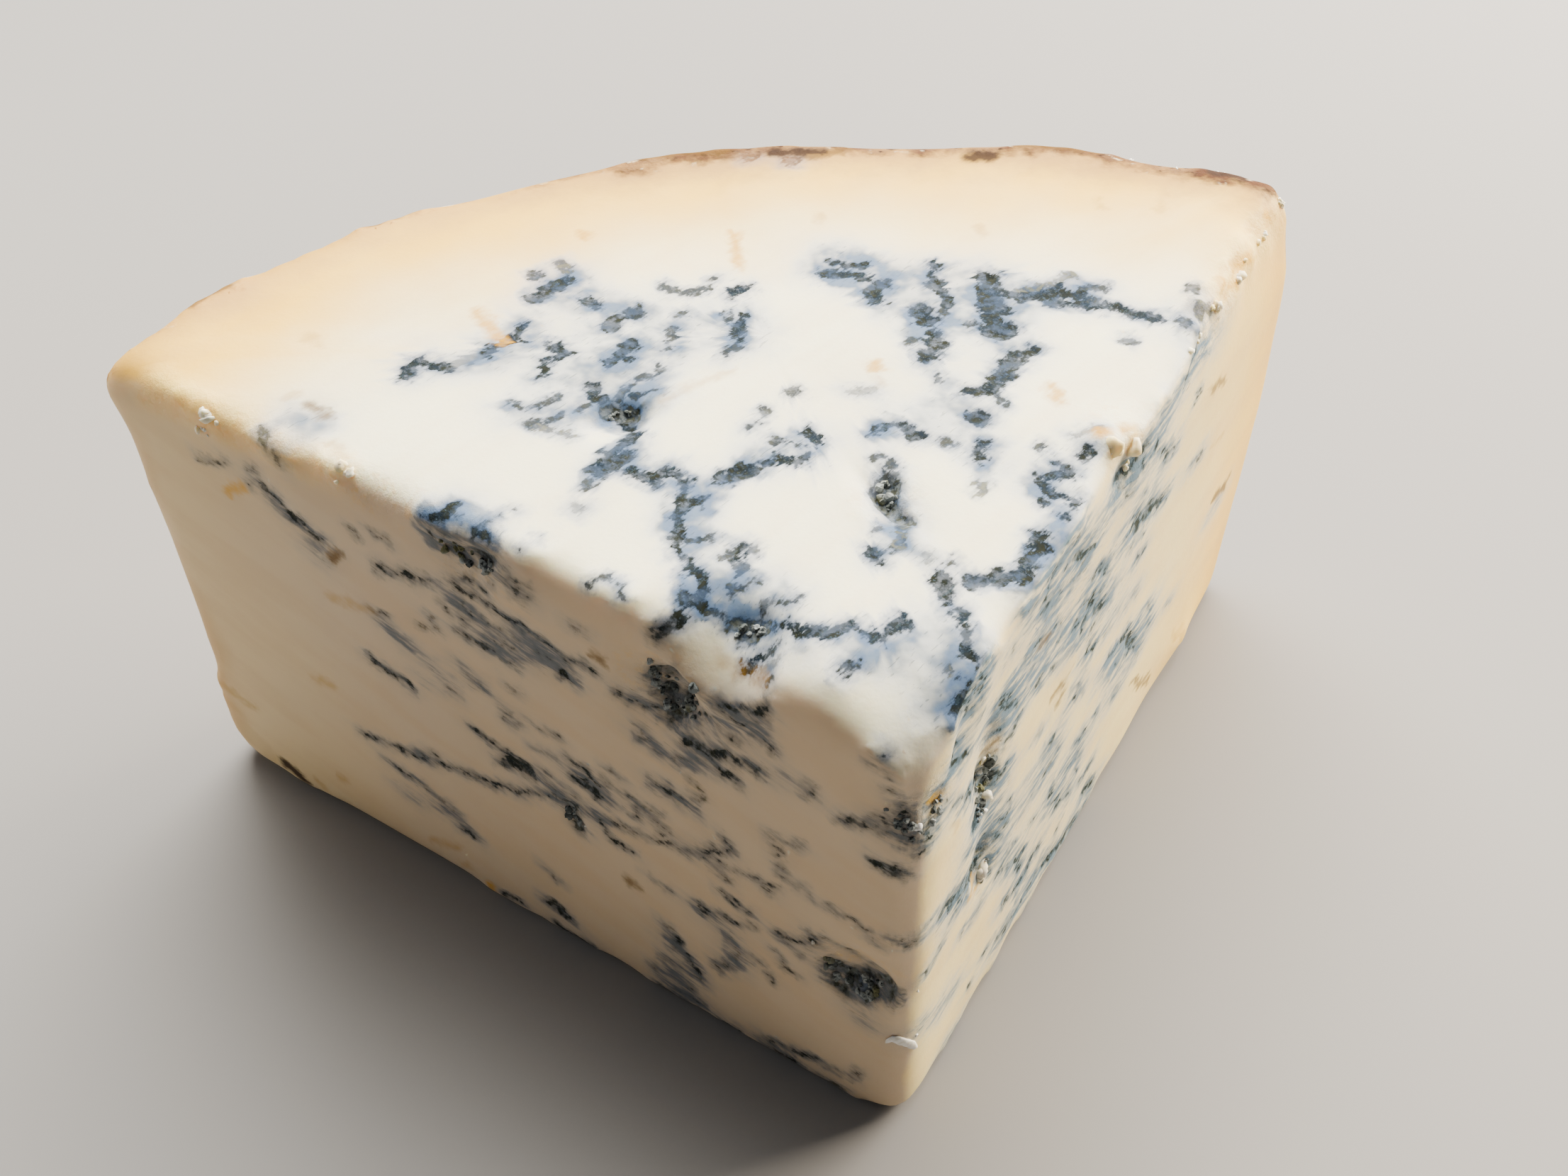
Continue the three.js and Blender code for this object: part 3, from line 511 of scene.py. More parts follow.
RIGHT_VEINS = [
    ("wash", (69.8, 60), (63.7, 61.1), (57.3, 59.8)),
    ("wash", (57.3, 59.8), (53, 56.9), (47, 55.9), (39.5, 57.3)),
    ("wash", (37.2, 47.3), (39.3, 43.5), (35.8, 43.9)),
    ("wash", (54.8, 25.9), (52.6, 25.6), (48.8, 27.5)),
    ("wash", (21.7, 50.6), (24.6, 46.6), (19.5, 49.4), (16.9, 50.2)),
    ("wash", (32, 56), (27, 54.8), (26.4, 51.3)),
    ("haze", (42.2, 21.2), (40.2, 19.9)),
    ("haze", (32.6, 30.3), (31, 28)),
    ("haze", (60.1, 20.3), (58, 22)),
    ("haze", (61.7, 25.4), (62.6, 21.4)),
    ("haze", (54, 17.7), (50, 20)),
    ("haze", (46, 40), (50, 36)),
    ("haze", (28, 30), (33, 24)),
    ("haze", (50, 50.5), (56, 50)),
    ("vein", (-2.9, 53), (-1.1, 51.2), (0, 49.7), (0.6, 47.8)),
    ("fine", (-1.6, 53.6), (-0.3, 51.8)),
    ("olive", (1.3, 53.9), (2.6, 53.6), (3.4, 52.3), (3.9, 50.4), (4.4, 48.6)),
    ("fine", (2.6, 49.1), (3.7, 47.8)),
    ("fine", (4.4, 53.1), (6, 53.1)),
    ("bold", (5.6, 56), (6.3, 54.4), (7.3, 52.8)),
    ("dot", (9.2, 51.8)),
    ("vein", (7.6, 60.2), (8.4, 58.9), (9.2, 58.1)),
    ("fine", (8.1, 62), (8.4, 61)),
    ("fine", (10.5, 62.6), (11.6, 60.2), (11.8, 58.6), (11, 57.6)),
    ("fine", (12.9, 61), (13.9, 60.3)),
    ("dot", (11, 54.7)),
    ("vein", (15, 53), (16.4, 51.4)),
    ("vein", (16.8, 52.6), (18, 50.8)),
    ("wash", (15.4, 52.4), (17.6, 50.6)),
    ("vein", (14.2, 51.2), (15, 49.7), (16.3, 48.6), (17.1, 47.6)),
    ("brown", (13.9, 48.9), (14.7, 47.8), (15, 47)),
    ("wash", (4.5, 14.6), (7.5, 13), (10.4, 11.5)),
    ("ochre", (2.6, 53.2), (2.9, 52.6)),
    ("vein", (18.7, 50.4), (19.7, 48.9), (20.5, 47.9)),
    ("wash", (20, 52), (23, 48)),
    ("fine", (19.7, 53.7), (20.8, 53.6)),
    ("vein", (23.1, 53.5), (24.7, 52.9)),
    ("brown", (25, 51.8), (26.6, 51.5)),
    ("fine", (27.9, 51.6), (28.9, 50.2)),
    ("fine", (25.8, 54.9), (27.1, 55.4), (28.9, 56.5), (30.2, 55.8), (31.3, 54.7)),
    ("fine", (31.3, 54.7), (32.6, 54.4), (35, 54.9)),
    ("bold", (32.5, 57.3), (33.8, 56.7), (35.4, 55.7)),
    ("vein", (24.4, 57), (26.3, 56.5)),
    ("bold", (26.6, 63.3), (27.3, 61.8), (26.6, 60.7), (26, 59.4), (25.2, 58.1)),
    ("wash", (26.4, 62.4), (25.4, 58.6)),
    ("fine", (25, 62), (25, 61)),
    ("dot", (28.7, 61.8)),
    ("vein", (30, 61.5), (31.3, 60.7)),
    ("dot", (30, 58.6)),
    ("fine", (19.7, 61), (21.3, 60.3)),
    ("faint", (17.2, 58), (18, 57.6)),
    ("vein", (10.2, 45), (11.3, 45.2), (12.1, 44.4)),
    ("gape", (11.8, 46.5), (13.1, 44.9), (14.2, 43.3), (15.5, 41.2)),
    ("blob", (13.2, 40.2), (13.3, 38.2)),
    ("vein", (15, 42.3), (16.6, 41.5), (17.9, 40.2), (19.2, 39.7)),
    ("wash", (15.5, 39.7), (15.5, 35.4)),
    ("faint", (15.5, 39.7), (15.5, 35.4)),
    ("fine", (12.1, 34.9), (14.2, 34)),
    ("fine", (26.8, 36.8), (28.9, 35.8)),
    ("brown", (31.3, 39.1), (34.4, 38.3)),
    ("brown", (33, 37), (33.8, 36.6)),
    ("dot", (31.8, 31)),
    ("fine", (28.7, 44.9), (30, 44.4)),
    ("dot", (19.4, 44.3)),
    ("dot", (20.8, 45.7)),
    ("dot", (25.9, 46)),
    ("fine", (7.3, 47.6), (10.2, 45.7)),
    ("tan", (7.4, 43.8), (8, 43.2)),
    ("fine", (-2.4, 37.8), (-0.8, 35.5), (0.8, 34.1), (2.6, 33.3), (4.2, 33.2)),
    ("bold", (6.8, 31.8), (7.9, 31.2), (9.7, 30.3), (11.3, 30.3), (13.1, 30.6), (13.9, 31)),
    ("olive", (14.2, 32.8), (15.5, 30.7)),
    ("vein", (17.6, 32.8), (18.7, 31.5), (20.8, 30.2)),
    ("fine", (20.5, 32.8), (21.3, 31.5)),
    ("vein", (10, 29.8), (10.8, 29), (12.1, 27.1)),
    ("fine", (9.7, 27.7), (11.8, 27.4)),
    ("vein", (12.3, 29.5), (14.4, 29)),
    ("gape", (15, 28.2), (15.8, 26.9), (16.8, 25.6)),
    ("vein", (16.8, 32), (18.4, 29.8), (19.7, 28.4), (20.8, 28.7)),
    ("wash", (18, 31.4), (20.4, 28.6)),
    ("ochre", (13.4, 27.9), (13.9, 26.1)),
    ("faint", (19.9, 25.8), (20.5, 25.2)),
    ("dot", (3.8, 24.9)),
    ("dot", (5.9, 24.7)),
    ("dot", (6.8, 25.8)),
    ("dot", (12.3, 21.1)),
    ("faint", (15, 20), (17, 20.5)),
    ("vein", (21.3, 21.3), (22.6, 20), (23.9, 18.7)),
    ("fine", (23.4, 22.7), (24.2, 21.1)),
    ("fine", (25.2, 21.9), (26, 21.3)),
    ("dot", (29.4, 20.1)),
    ("bold", (26.3, 17.4), (27.1, 16.1), (27.3, 14.2)),
    ("vein", (24.4, 11.9), (25.2, 11.3), (27.6, 10.8), (29.7, 10.8)),
    ("blob", (30.3, 11), (31.4, 11)),
    ("fine", (27.3, 9.5), (28.4, 8.4)),
    ("fine", (18.9, 8.4), (21.3, 7.9)),
    ("dot", (16.4, 6)),
    ("vein", (23.7, 6.1), (25.2, 4.8), (27.6, 4.8), (30.2, 5.3), (32.9, 5.8)),
    ("wash", (25.2, 4.8), (32, 5.6)),
    ("fine", (33.9, 7.7), (35.2, 5.3)),
    ("wash", (11.4, 1.7), (12.6, 1.4)),
    ("vein", (32.3, 26.3), (33.7, 25.8), (35, 27.1)),
    ("faint", (26.6, 25.3), (28.7, 26.3)),
    ("bold", (41.6, 59.9), (43.2, 59.8), (45, 59.4), (47.1, 59.3), (49.5, 59)),
    ("olive", (41.3, 62), (43.4, 61.2), (45.3, 60.3)),
    ("fine", (47.9, 60.6), (49.5, 60.4)),
    ("fine", (52, 61.4), (53.4, 61.4)),
    ("fine", (56.8, 61.2), (59.5, 61.4)),
    ("vein", (46, 56.2), (46.8, 56), (47.9, 56.8), (50, 56.9), (51.8, 56.2), (52.9, 56.2)),
    ("vein", (52.9, 56.2), (53.9, 54.9), (55.5, 53.9), (58.4, 51.8), (60.3, 50.7)),
    ("dot", (46.6, 54.9)),
    ("olive", (51.7, 51.4), (52.5, 50.8)),
    ("dot", (65.8, 54.3)),
    ("bold", (38.4, 49.7), (40, 49.7), (41.3, 48.5), (42.1, 47.8)),
    ("fine", (31, 47.8), (32.6, 47.9)),
    ("vein", (34.4, 46.4), (35.4, 45.5), (36.6, 44.4)),
    ("bold", (38, 44.3), (38.8, 46)),
    ("vein", (36.2, 48.2), (37.6, 46.8)),
    ("blob", (37.4, 43.3)),
    ("wash", (35, 46), (38.6, 45)),
    ("dot", (42, 45.2)),
    ("bold", (40.8, 43.3), (41.3, 42.6), (42.9, 42.3), (44.2, 41.5)),
    ("dot", (41.3, 40.7)),
    ("bold", (40, 37.6), (40.5, 36.8), (41.3, 36.2)),
    ("fine", (37.6, 34.1), (38.4, 33.7)),
    ("vein", (38.2, 32), (39.5, 31.5), (41, 30.7)),
    ("faint", (46.6, 35.4), (47.6, 35)),
    ("faint", (53.2, 33.8), (54.2, 33.4)),
    ("fine", (47.9, 47.8), (49.2, 47.6)),
    ("vein", (49.7, 49.7), (50.8, 48.6), (52.4, 47.8), (55, 47)),
    ("bold", (50, 47.8), (52.1, 46.5), (54.2, 46), (56.3, 45.2), (58.4, 44.4), (59.5, 43.9)),
    ("fine", (49.5, 45.2), (50.3, 44.1)),
    ("fine", (52.4, 44.4), (53.2, 43.1)),
    ("vein", (53.2, 40.4), (54.2, 39.7), (55, 39.9)),
    ("vein", (48.4, 29.2), (50.3, 28.7)),
    ("bold", (52.1, 27.9), (54.5, 27.1), (56.3, 24.8), (57.6, 22.9), (59.2, 20.8)),
    ("wash", (52, 26.6), (56.4, 23)),
    ("fine", (52.6, 24.5), (54.7, 23.2)),
    ("faint", (61.8, 25.8), (63.2, 24)),
    ("faint", (62.1, 22.1), (63.7, 20)),
    ("fine", (53.4, 18.4), (55, 17.4)),
    ("faint", (59.6, 19), (61.6, 17.8)),
    ("brown", (60.8, 12.9), (63.2, 10.6), (65.3, 9), (69.2, 6.1)),
    ("vein", (34.2, 20.3), (36.3, 18.4)),
    ("vein", (41.3, 21.3), (42.9, 20.8)),
    ("fine", (40.3, 19.8), (41.6, 18.4)),
    ("fine", (42.6, 18.4), (43.7, 16.9)),
    ("fine", (42.4, 15), (42.9, 14.2)),
    ("vein", (36, 16.9), (37.6, 14.5), (39.7, 13.4), (41, 12.4), (41.8, 11.3)),
    ("pool", (38.4, 16.6), (41, 16.2)),
    ("dot", (46.8, 20.5)),
    ("vein", (45.3, 10.3), (46.8, 9.5), (48.4, 10.6)),
    ("dot", (39.7, 7.7)),
    ("bold", (47.6, 6.3), (48.9, 5.3), (50.3, 4.5)),
    ("bold", (35.3, 4.8), (37.9, 4), (40.5, 2.7), (43.2, 2.4), (45.8, 2.1)),
    ("wash", (36, 4), (45, 2.6)),
    ("brown", (71.4, 51), (74.5, 50.5), (76.8, 49.1)),
    ("faint", (69, 42.3), (72.7, 41)),
    ("dot", (72, 41.3)),
    ("tan", (77.7, 38.9), (80, 37.8)),
    ("crust", (84.6, 26), (87, 25.2), (89.4, 24.4)),
    ("wash", (85.5, 23.2), (86, 23)),
    ("faint", (71, 18.4), (72, 18)),
    ("tan", (77.3, 7.3), (80.6, 4), (84.5, 0.8)),
    ("ochre", (79, 61), (79.8, 60.4)),
]

# What each kind of vein is like: half its width, how dark its mould is, the strength and reach
# of the stain around it, how olive it is, and how far it opens into the paste. Lengths are
# in mm.
KINDS = {
    "bold": dict(half=0.72, dark=1.0, stain=0.85, reach=2.0, olive=0.15, deep=0.3),
    "vein": dict(half=0.46, dark=1.0, stain=0.7, reach=1.7, olive=0.1, deep=0.2),
    "fine": dict(half=0.24, dark=0.9, stain=0.5, reach=1.4, olive=0.2, deep=0.1),
    "dot": dict(half=0.55, dark=0.9, stain=0.45, reach=1.4, olive=0.3, deep=0.12),
    "blob": dict(half=1.05, dark=1.0, stain=0.85, reach=2.3, olive=0.1, deep=0.35),
    "faint": dict(half=0.35, dark=0.5, stain=0.6, reach=1.6, olive=0.1, deep=0.05),
    "gape": dict(half=0.7, dark=0.95, stain=0.75, reach=1.9, olive=0.4, deep=0.9),
    "olive": dict(half=0.45, dark=0.75, stain=0.35, reach=1.4, olive=1.0, deep=0.15),
    "grey": dict(half=0.6, dark=0.8, stain=0.4, reach=1.5, olive=0.0, deep=0.05),
    "wash": dict(half=0, dark=0, stain=0.75, reach=2.4, olive=0, deep=0),
    "pool": dict(half=0, dark=0, stain=0.6, reach=3.4, olive=0, deep=0),
    "haze": dict(half=0, dark=0, stain=0.5, reach=2.6, olive=0, deep=0),
}
# Old, dry veins near the rind have gone tan, brown or ochre: half width, how brown, how strong.
DRY_KINDS = {
    "ochre": dict(half=0.6, brown=0.0, strength=0.8),
    "tan": dict(half=0.5, brown=0.35, strength=0.4),
    "peach": dict(half=1.8, brown=0.45, strength=0.12),
    "brown": dict(half=0.5, brown=0.85, strength=0.8),
    "crust": dict(half=0.8, brown=0.85, strength=0.8),
    "char": dict(half=1.0, brown=1.0, strength=0.95),
}
STEP_ALONG = 0.5
# The most that the uneven surface lies off the flat cut along a line of sight.
FURTHEST_OFF = 6


def on_top(x, y):
    return TOP_ZERO + Vector((x, y, 0))


def on_left(distance, height):
    return AXIS + ALONG_LEFT * distance + Vector((0, 0, height))


def on_right(distance, height):
    return AXIS + ALONG_RIGHT * distance + Vector((0, 0, height))


def stepped(points):
    """The same line with a point at least every STEP_ALONG millimetres."""
    line = [points[0]]
    for start, end in zip(points, points[1:]):
        count = max(1, math.ceil((end - start).length / STEP_ALONG))
        line += [start.lerp(end, i / count) for i in range(1, count + 1)]
    return line


def laid_on(surface, point):
    """The place on the uneven surface that covers this point of the flat cut for the camera."""
    eye = CAMERA_AT / MM
    sight = (point - eye).normalized()
    hit = surface.ray_cast(eye, sight)[0]
    near = surface.find_nearest(point)[0]
    if hit is None or (hit - point).length > FURTHEST_OFF:
        return near
    return hit


def surface_of(mesh):
    places = [v.co / MM for v in mesh.vertices]
    return BVHTree.FromPolygons(places, [tuple(p.vertices) for p in mesh.polygons])


def random_veins(count, seed):
    """Veins of the bottom, which wander from the middle the way those of the top do."""
    draw = random.Random(seed)
    veins = []
    for _ in range(count):
        turn = draw.uniform(-0.9 * HALF_ANGLE, 0.9 * HALF_ANGLE)
        away = draw.uniform(8, 66)
        at = AXIS + Vector((math.sin(turn), math.cos(turn), 0)) * away
        heading = draw.uniform(0, 2 * math.pi)
        line = [at.copy()]
        for _ in range(draw.randint(1, 9)):
            heading += draw.uniform(-0.9, 0.9)
            at = at + Vector((math.cos(heading), math.sin(heading), 0)) * draw.uniform(0.9, 2.2)
            line.append(at.copy())
        kind = draw.choice(["bold", "vein", "vein", "fine", "fine", "dot", "olive", "wash"])
        if kind == "dot":
            line = line[:1]
        veins.append((kind, line))
    return veins


# The knife dragged the mould along both cuts, so its stain is drawn out there. Each face has its
# own spread of the stain, drag and share of the stain's width that is left along the drag.
UP = Vector((0, 0, 1))
LEFT_DRAG = (ALONG_LEFT + 0.3 * UP).normalized()
DRAG = (ALONG_RIGHT - 0.08 * UP).normalized()
FACES = [
    (TOP_VEINS, on_top, 0.95, UP, 1.0),
    (LEFT_VEINS, on_left, 0.62, LEFT_DRAG, 0.55),
    (RIGHT_VEINS, on_right, 0.95, DRAG, 0.45),
]

surface = surface_of(cheese_mesh)
laid_veins = []
for veins, place, spread, drag, squeeze in FACES:
    for kind, *points in veins:
        line = stepped([place(*point) for point in points])
        line = [laid_on(surface, point) for point in line]
        # The veins of the top are smeared wider towards the rind than by the tip.
        back = min(max((points[0][1] + 25) / 35, 0), 1) if veins is TOP_VEINS else 0
        laid_veins.append((kind, line, spread * (1 + 0.5 * back), drag, squeeze))
for kind, line in random_veins(count=70, seed=4):
    line = [surface.find_nearest(point)[0] for point in stepped(line)]
    laid_veins.append((kind, line, 1.2, UP, 1.0))


def distance_to_line(places, line):
    """The distance in mm from each place to a line through points."""
    if len(line) == 1:
        return np.linalg.norm(places - np.array(line[0]), axis=1)
    nearest = np.full(len(places), np.inf)
    for start, end in zip(line, line[1:]):
        start = np.array(start)
        side = np.array(end) - start
        length_squared = max(side @ side, 1e-9)
        share = np.clip((places - start) @ side / length_squared, 0, 1)
        apart = places - start - share[:, None] * side
        nearest = np.minimum(nearest, np.einsum("ij,ij->i", apart, apart))
    return np.sqrt(nearest)


# Places further than this from a vein, in mm, aren't measured to it. They count as FAR outside.
MARGIN = 8
FAR = 9.0


def measure_veins(places):
    """For each place, how it lies to the veins: depth inside the nearest one (minus outside),
    and that vein's darkness, olive tint and opening, the stain, and the same for dry veins."""
    count = len(places)
    names = ("dark", "olive", "deep", "stain", "brown", "strength")
    found = {name: np.zeros(count) for name in names}
    found["vein"] = np.full(count, -FAR)
    found["dry"] = np.full(count, -FAR)
    for kind, line, spread, drag, squeeze in laid_veins:
        low = np.min(line, axis=0) - MARGIN
        high = np.max(line, axis=0) + MARGIN
        close = np.flatnonzero(np.all((places > low) & (places < high), axis=1))
        if not len(close):
            continue
        distance = distance_to_line(places[close], line)
        if kind in DRY_KINDS:
            inside = DRY_KINDS[kind]["half"] - distance
            better = inside > found["dry"][close]
            found["dry"][close[better]] = inside[better]
            for name in ("brown", "strength"):
                found[name][close[better]] = DRY_KINDS[kind][name]
            continue
        look = KINDS[kind]
        from_line = distance
        if squeeze < 1:
            flatten = np.eye(3) - (1 - squeeze) * np.outer(drag, drag)
            from_line = distance_to_line(places[close] @ flatten, list(np.array(line) @ flatten))
        stain = look["stain"] * np.exp(-((from_line / look["reach"] / spread) ** 2))
        found["stain"][close] = 1 - (1 - found["stain"][close]) * (1 - stain)
        if look["half"] == 0:
            continue
        inside = look["half"] * (0.7 + 0.35 * spread) - distance
        better = inside > found["vein"][close]
        found["vein"][close[better]] = inside[better]
        for name in ("dark", "olive", "deep"):
            found[name][close[better]] = look[name]
    return found


# Where the paste broke away along the top of the right cut, from the middle to the rind.
TORN_EDGE = [(44.5, -3.5), (50, 1.8), (55.4, 4.6), (59, 9), (62.8, 12.9), (67, 17), (71, 21.6)]
torn_edge = [laid_on(surface, on_top(*point)) for point in TORN_EDGE]


def read_threes(items, name):
    """One row of three numbers for each vertex or face of a mesh."""
    numbers = np.empty(len(items) * 3, np.float32)
    items.foreach_get(name, numbers)
    return numbers.reshape(-1, 3).astype(float)


def split_faces_near_veins(reach, lowest):
    """Halves the faces that lie within reach of a vein's edge and above a height, in mm."""
    centres = read_threes(cheese_mesh.polygons, "center") / MM
    near = measure_veins(centres)
    chosen = (np.maximum(near["vein"], near["dry"]) > -reach) & (centres[:, 2] > lowest)
    chosen |= distance_to_line(centres, torn_edge) < 3 * reach
    cheese_mesh.polygons.foreach_set("select", chosen)
    edit(lambda: bpy.ops.mesh.subdivide(number_cuts=1, quadcorner="INNERVERT"))


edit(
    lambda: bpy.ops.mesh.select_mode(type="FACE"),
    lambda: bpy.ops.mesh.select_all(action="DESELECT"),
)
split_faces_near_veins(reach=0.78, lowest=-1)
split_faces_near_veins(reach=0.03, lowest=1)
edit_all(lambda: bpy.ops.mesh.quads_convert_to_tris(quad_method="BEAUTY", ngon_method="BEAUTY"))

# ---- Crisp cut edges ----------------------------------------------------------------------
# The wire leaves the top edges of both cuts crisp and slightly chipped. They stay soft beside
# the scoop and where the right edge broke away, and have sunk at the tip.
EDGE_ROUND = 2.8
CRISPNESS = 5


def noise_at(places, size, seed):
    """Smooth noise from about -1 to 1 at each place, with lumps of the given size in mm."""
    offset = Vector((seed * 17.3, -seed * 9.1, seed * 4.7))
    return np.array([noise.noise(Vector(p) / size + offset) for p in places])


def crispen(places, facing, along, start, end, most):
    """Draws the rounded edge between the top and one cut out towards a sharp corner."""
    from_axis = places - np.array(AXIS)
    distance = from_axis @ np.array(along)
    to_side = np.clip(EDGE_ROUND + from_axis @ np.array(facing), 0, EDGE_ROUND) / EDGE_ROUND
    to_top = np.clip(EDGE_ROUND - (TOP_Z - places[:, 2]), 0, EDGE_ROUND) / EDGE_ROUND
    corner = (to_side > 0) & (to_top > 0)
    power = np.where(corner, to_side ** CRISPNESS + to_top ** CRISPNESS, 1)
    stretch = 1 / power ** (1 / CRISPNESS) - 1
    share = np.clip((distance - start) / 8, 0, 1) * np.clip((end - distance) / 8, 0, 1)
    chipped = np.clip(0.75 + 0.9 * noise_at(places, 2.6, 8), 0, 1)
    amount = np.where(corner, np.clip(stretch, 0, most) * share * chipped, 0) * EDGE_ROUND
    places += (amount * to_side)[:, None] * np.array(facing)
    places[:, 2] += amount * to_top


def move_vertices(mesh, places):
    """Puts the vertices of a mesh at these places, in millimetres."""
    mesh.vertices.foreach_set("co", (places * MM).astype(np.float32).ravel())
    mesh.update()


def slump(places, facing, along, start, end, radius):
    """Rounds the edge between the top and one cut more widely, where the paste has sunk."""
    from_axis = places - np.array(AXIS)
    distance = from_axis @ np.array(along)
    past_side = np.clip(radius + from_axis @ np.array(facing), 0, None)
    past_top = np.clip(radius - (TOP_Z - places[:, 2]), 0, None)
    reach = np.hypot(past_side, past_top)
    share = np.clip((distance - start) / 6, 0, 1) * np.clip((end - distance) / 6, 0, 1)
    over = np.where((past_side > 0) & (past_top > 0), np.clip(reach - radius, 0, None), 0) * share
    over /= np.maximum(reach, 0.1)
    places -= (over * past_side)[:, None] * np.array(facing)
    places[:, 2] -= over * past_top


places = read_threes(cheese_mesh.vertices, "co") / MM
crispen(places, OUT_LEFT, ALONG_LEFT, start=26, end=100, most=0.2)
crispen(places, OUT_RIGHT, ALONG_RIGHT, start=6, end=66, most=0.4)
slump(places, Vector((0, -1, 0)), Vector((1, 0, 0)), start=-20, end=20, radius=13)
slump(places, OUT_LEFT, ALONG_LEFT, start=-8, end=11, radius=5)
move_vertices(cheese_mesh, places)

# ---- Relief: open veins, crumbly paste and rough rind -------------------------------------
# Mould eats the curd away, so veins lie below the cut face, and the widest gape. The rind is
# dry, wrinkled and pitted by cheese mites.
WANDER_SEED = 7
places = read_threes(cheese_mesh.vertices, "co") / MM
normals = read_threes(cheese_mesh.vertices, "normal")
noise.seed_set(WANDER_SEED)
wander = np.array([noise.noise_vector(Vector(p) / 1.3) for p in places])
on_right_cut = np.clip(normals @ np.array(OUT_RIGHT) * 3 - 1.5, 0, 1)
combed_places = places - 0.85 * (places @ np.array(DRAG))[:, None] * np.array(DRAG)
dragged = 2.2 * noise_at(combed_places, 1.1, 11) * on_right_cut
found = measure_veins(places + 0.55 * wander + dragged[:, None] * np.array(DRAG))
found["vein"] += 0.28 * noise_at(places, 2.2, 6) - 0.1 * (np.abs(normals[:, 2]) < 0.5)

from_axis = places[:, :2] - np.array(AXIS)[:2]
radius = np.linalg.norm(from_axis, axis=1)
outward = np.einsum("ij,ij->i", normals[:, :2], from_axis / radius[:, None])
on_rind = (outward > 0.5) & (radius > 0.9 * WHEEL_RADIUS)
rind_surface = BVHTree.FromPolygons(
    [Vector(p) for p in places],
    [tuple(p.vertices) for p in cheese_mesh.polygons if on_rind[list(p.vertices)].all()],
)
NEAR_RIND = 0.6 * WHEEL_RADIUS
below_rind = np.array([
    rind_surface.find_nearest(Vector(p))[3] if r > NEAR_RIND else WHEEL_RADIUS - r
    for p, r in zip(places, radius)
])
rind_share = np.clip(1 - below_rind / 1.2, 0, 1)
off_bottom = np.clip(places[:, 2] / 1.0, 0, 1)

CRUMBLY = [
    (on_right(3, 52), 3.5),
    (on_right(14.5, 45), 5),
    (on_right(15.5, 29), 5),
    (on_left(27, 53), 6),
    (on_left(6, 24), 5.5),
    (on_left(49, 59), 5),
    (on_top(-17, -1), 3.5),
    (on_top(5.5, -20), 4),
    (on_right(46, 61), 6),
]
CRUMBLY += [(on_left(along, 62), 3) for along in range(54, 96, 3)]
crumbly = np.zeros(len(places))
for centre, reach in CRUMBLY:
    away = np.linalg.norm(places - np.array(centre), axis=1) / reach
    crumbly = np.maximum(crumbly, np.clip(1.3 - away, 0, 1))

torn_here = np.clip(1.3 - distance_to_line(places, torn_edge) / 3.5, 0, 1)
crumbly = np.maximum(crumbly, torn_here)

# Smooth lumps of curd that stand proud where the paste tore: place, radius and height.
LUMPS = [
    (on_right(2.4, 57.5), 6, 0.8),
    (on_top(42.8, -2.6), 2.8, 0.9),
    (on_top(45.6, -0.6), 2.6, 0.8),
    (on_top(28.4, -16.2), 2.0, 0.6),
    (on_top(29.2, -18), 2.1, 0.7),
    (on_top(28.6, -19.8), 2.0, 0.6),
]
lump = np.zeros(len(places))
for centre, reach, height in LUMPS:
    away = np.linalg.norm(places - np.array(centre), axis=1) / reach
    lump += height * np.clip(1 - away ** 2, 0, 1) ** 2

opened = np.clip((found["vein"] + 0.25) / 0.6, 0, 1)
ragged = 1 + 0.9 * noise_at(places, 0.8, 1)
move = -opened * found["deep"] * np.clip(ragged, 0.1, 2)
move += 0.05 * noise_at(places, 1.4, 2) + 0.05 * noise_at(places, 3.5, 3)
move += crumbly * 0.5 * noise_at(places, 2.4, 9)
move += crumbly * (1 - torn_here) * 0.25 * noise_at(places, 1.1, 10)
move += torn_here * noise_at(places, 3.6, 14)
gaping = np.clip((found["deep"] - 0.5) * 3, 0, 1) * opened
move += lump
move += 0.32 * gaping * noise_at(places, 0.9, 7)
move += rind_share * (0.36 * noise_at(places, 2.6, 4) + 0.22 * noise_at(places, 1.2, 5))
places += normals * (move * off_bottom)[:, None]
places = np.clip(places, np.array(cad_low) / MM, np.array(cad_high) / MM)
move_vertices(cheese_mesh, places)


# A face is folded where it agrees less than this with the normal at one of its corners.
FOLDED = 0.35


def smooth_folds():
    """Smooths the mesh where the relief has folded a small face over its neighbours."""
    corners = np.empty(len(cheese_mesh.polygons) * 3, np.int32)
    cheese_mesh.polygons.foreach_get("vertices", corners)
    corners = corners.reshape(-1, 3)
    normals = read_threes(cheese_mesh.vertices, "normal")[corners]
    agreement = np.einsum("ijk,ik->ij", normals, read_threes(cheese_mesh.polygons, "normal"))
    chosen = np.zeros(len(cheese_mesh.vertices), bool)
    chosen[corners[agreement.min(axis=1) < FOLDED]] = True
    cheese_mesh.polygons.foreach_set("select", np.zeros(len(cheese_mesh.polygons), bool))
    cheese_mesh.vertices.foreach_set("select", chosen)
    edit(lambda: bpy.ops.mesh.vertices_smooth(factor=0.6, repeat=3))


edit(lambda: bpy.ops.mesh.select_mode(type="VERT"))
for _ in range(4):
    smooth_folds()
bpy.ops.object.shade_smooth()


def store(name, values):
    """Keeps one number for each vertex, for the material to read."""
    layer = cheese_mesh.attributes.new(name, "FLOAT", "POINT")
    layer.data.foreach_set("value", values.astype(np.float32))


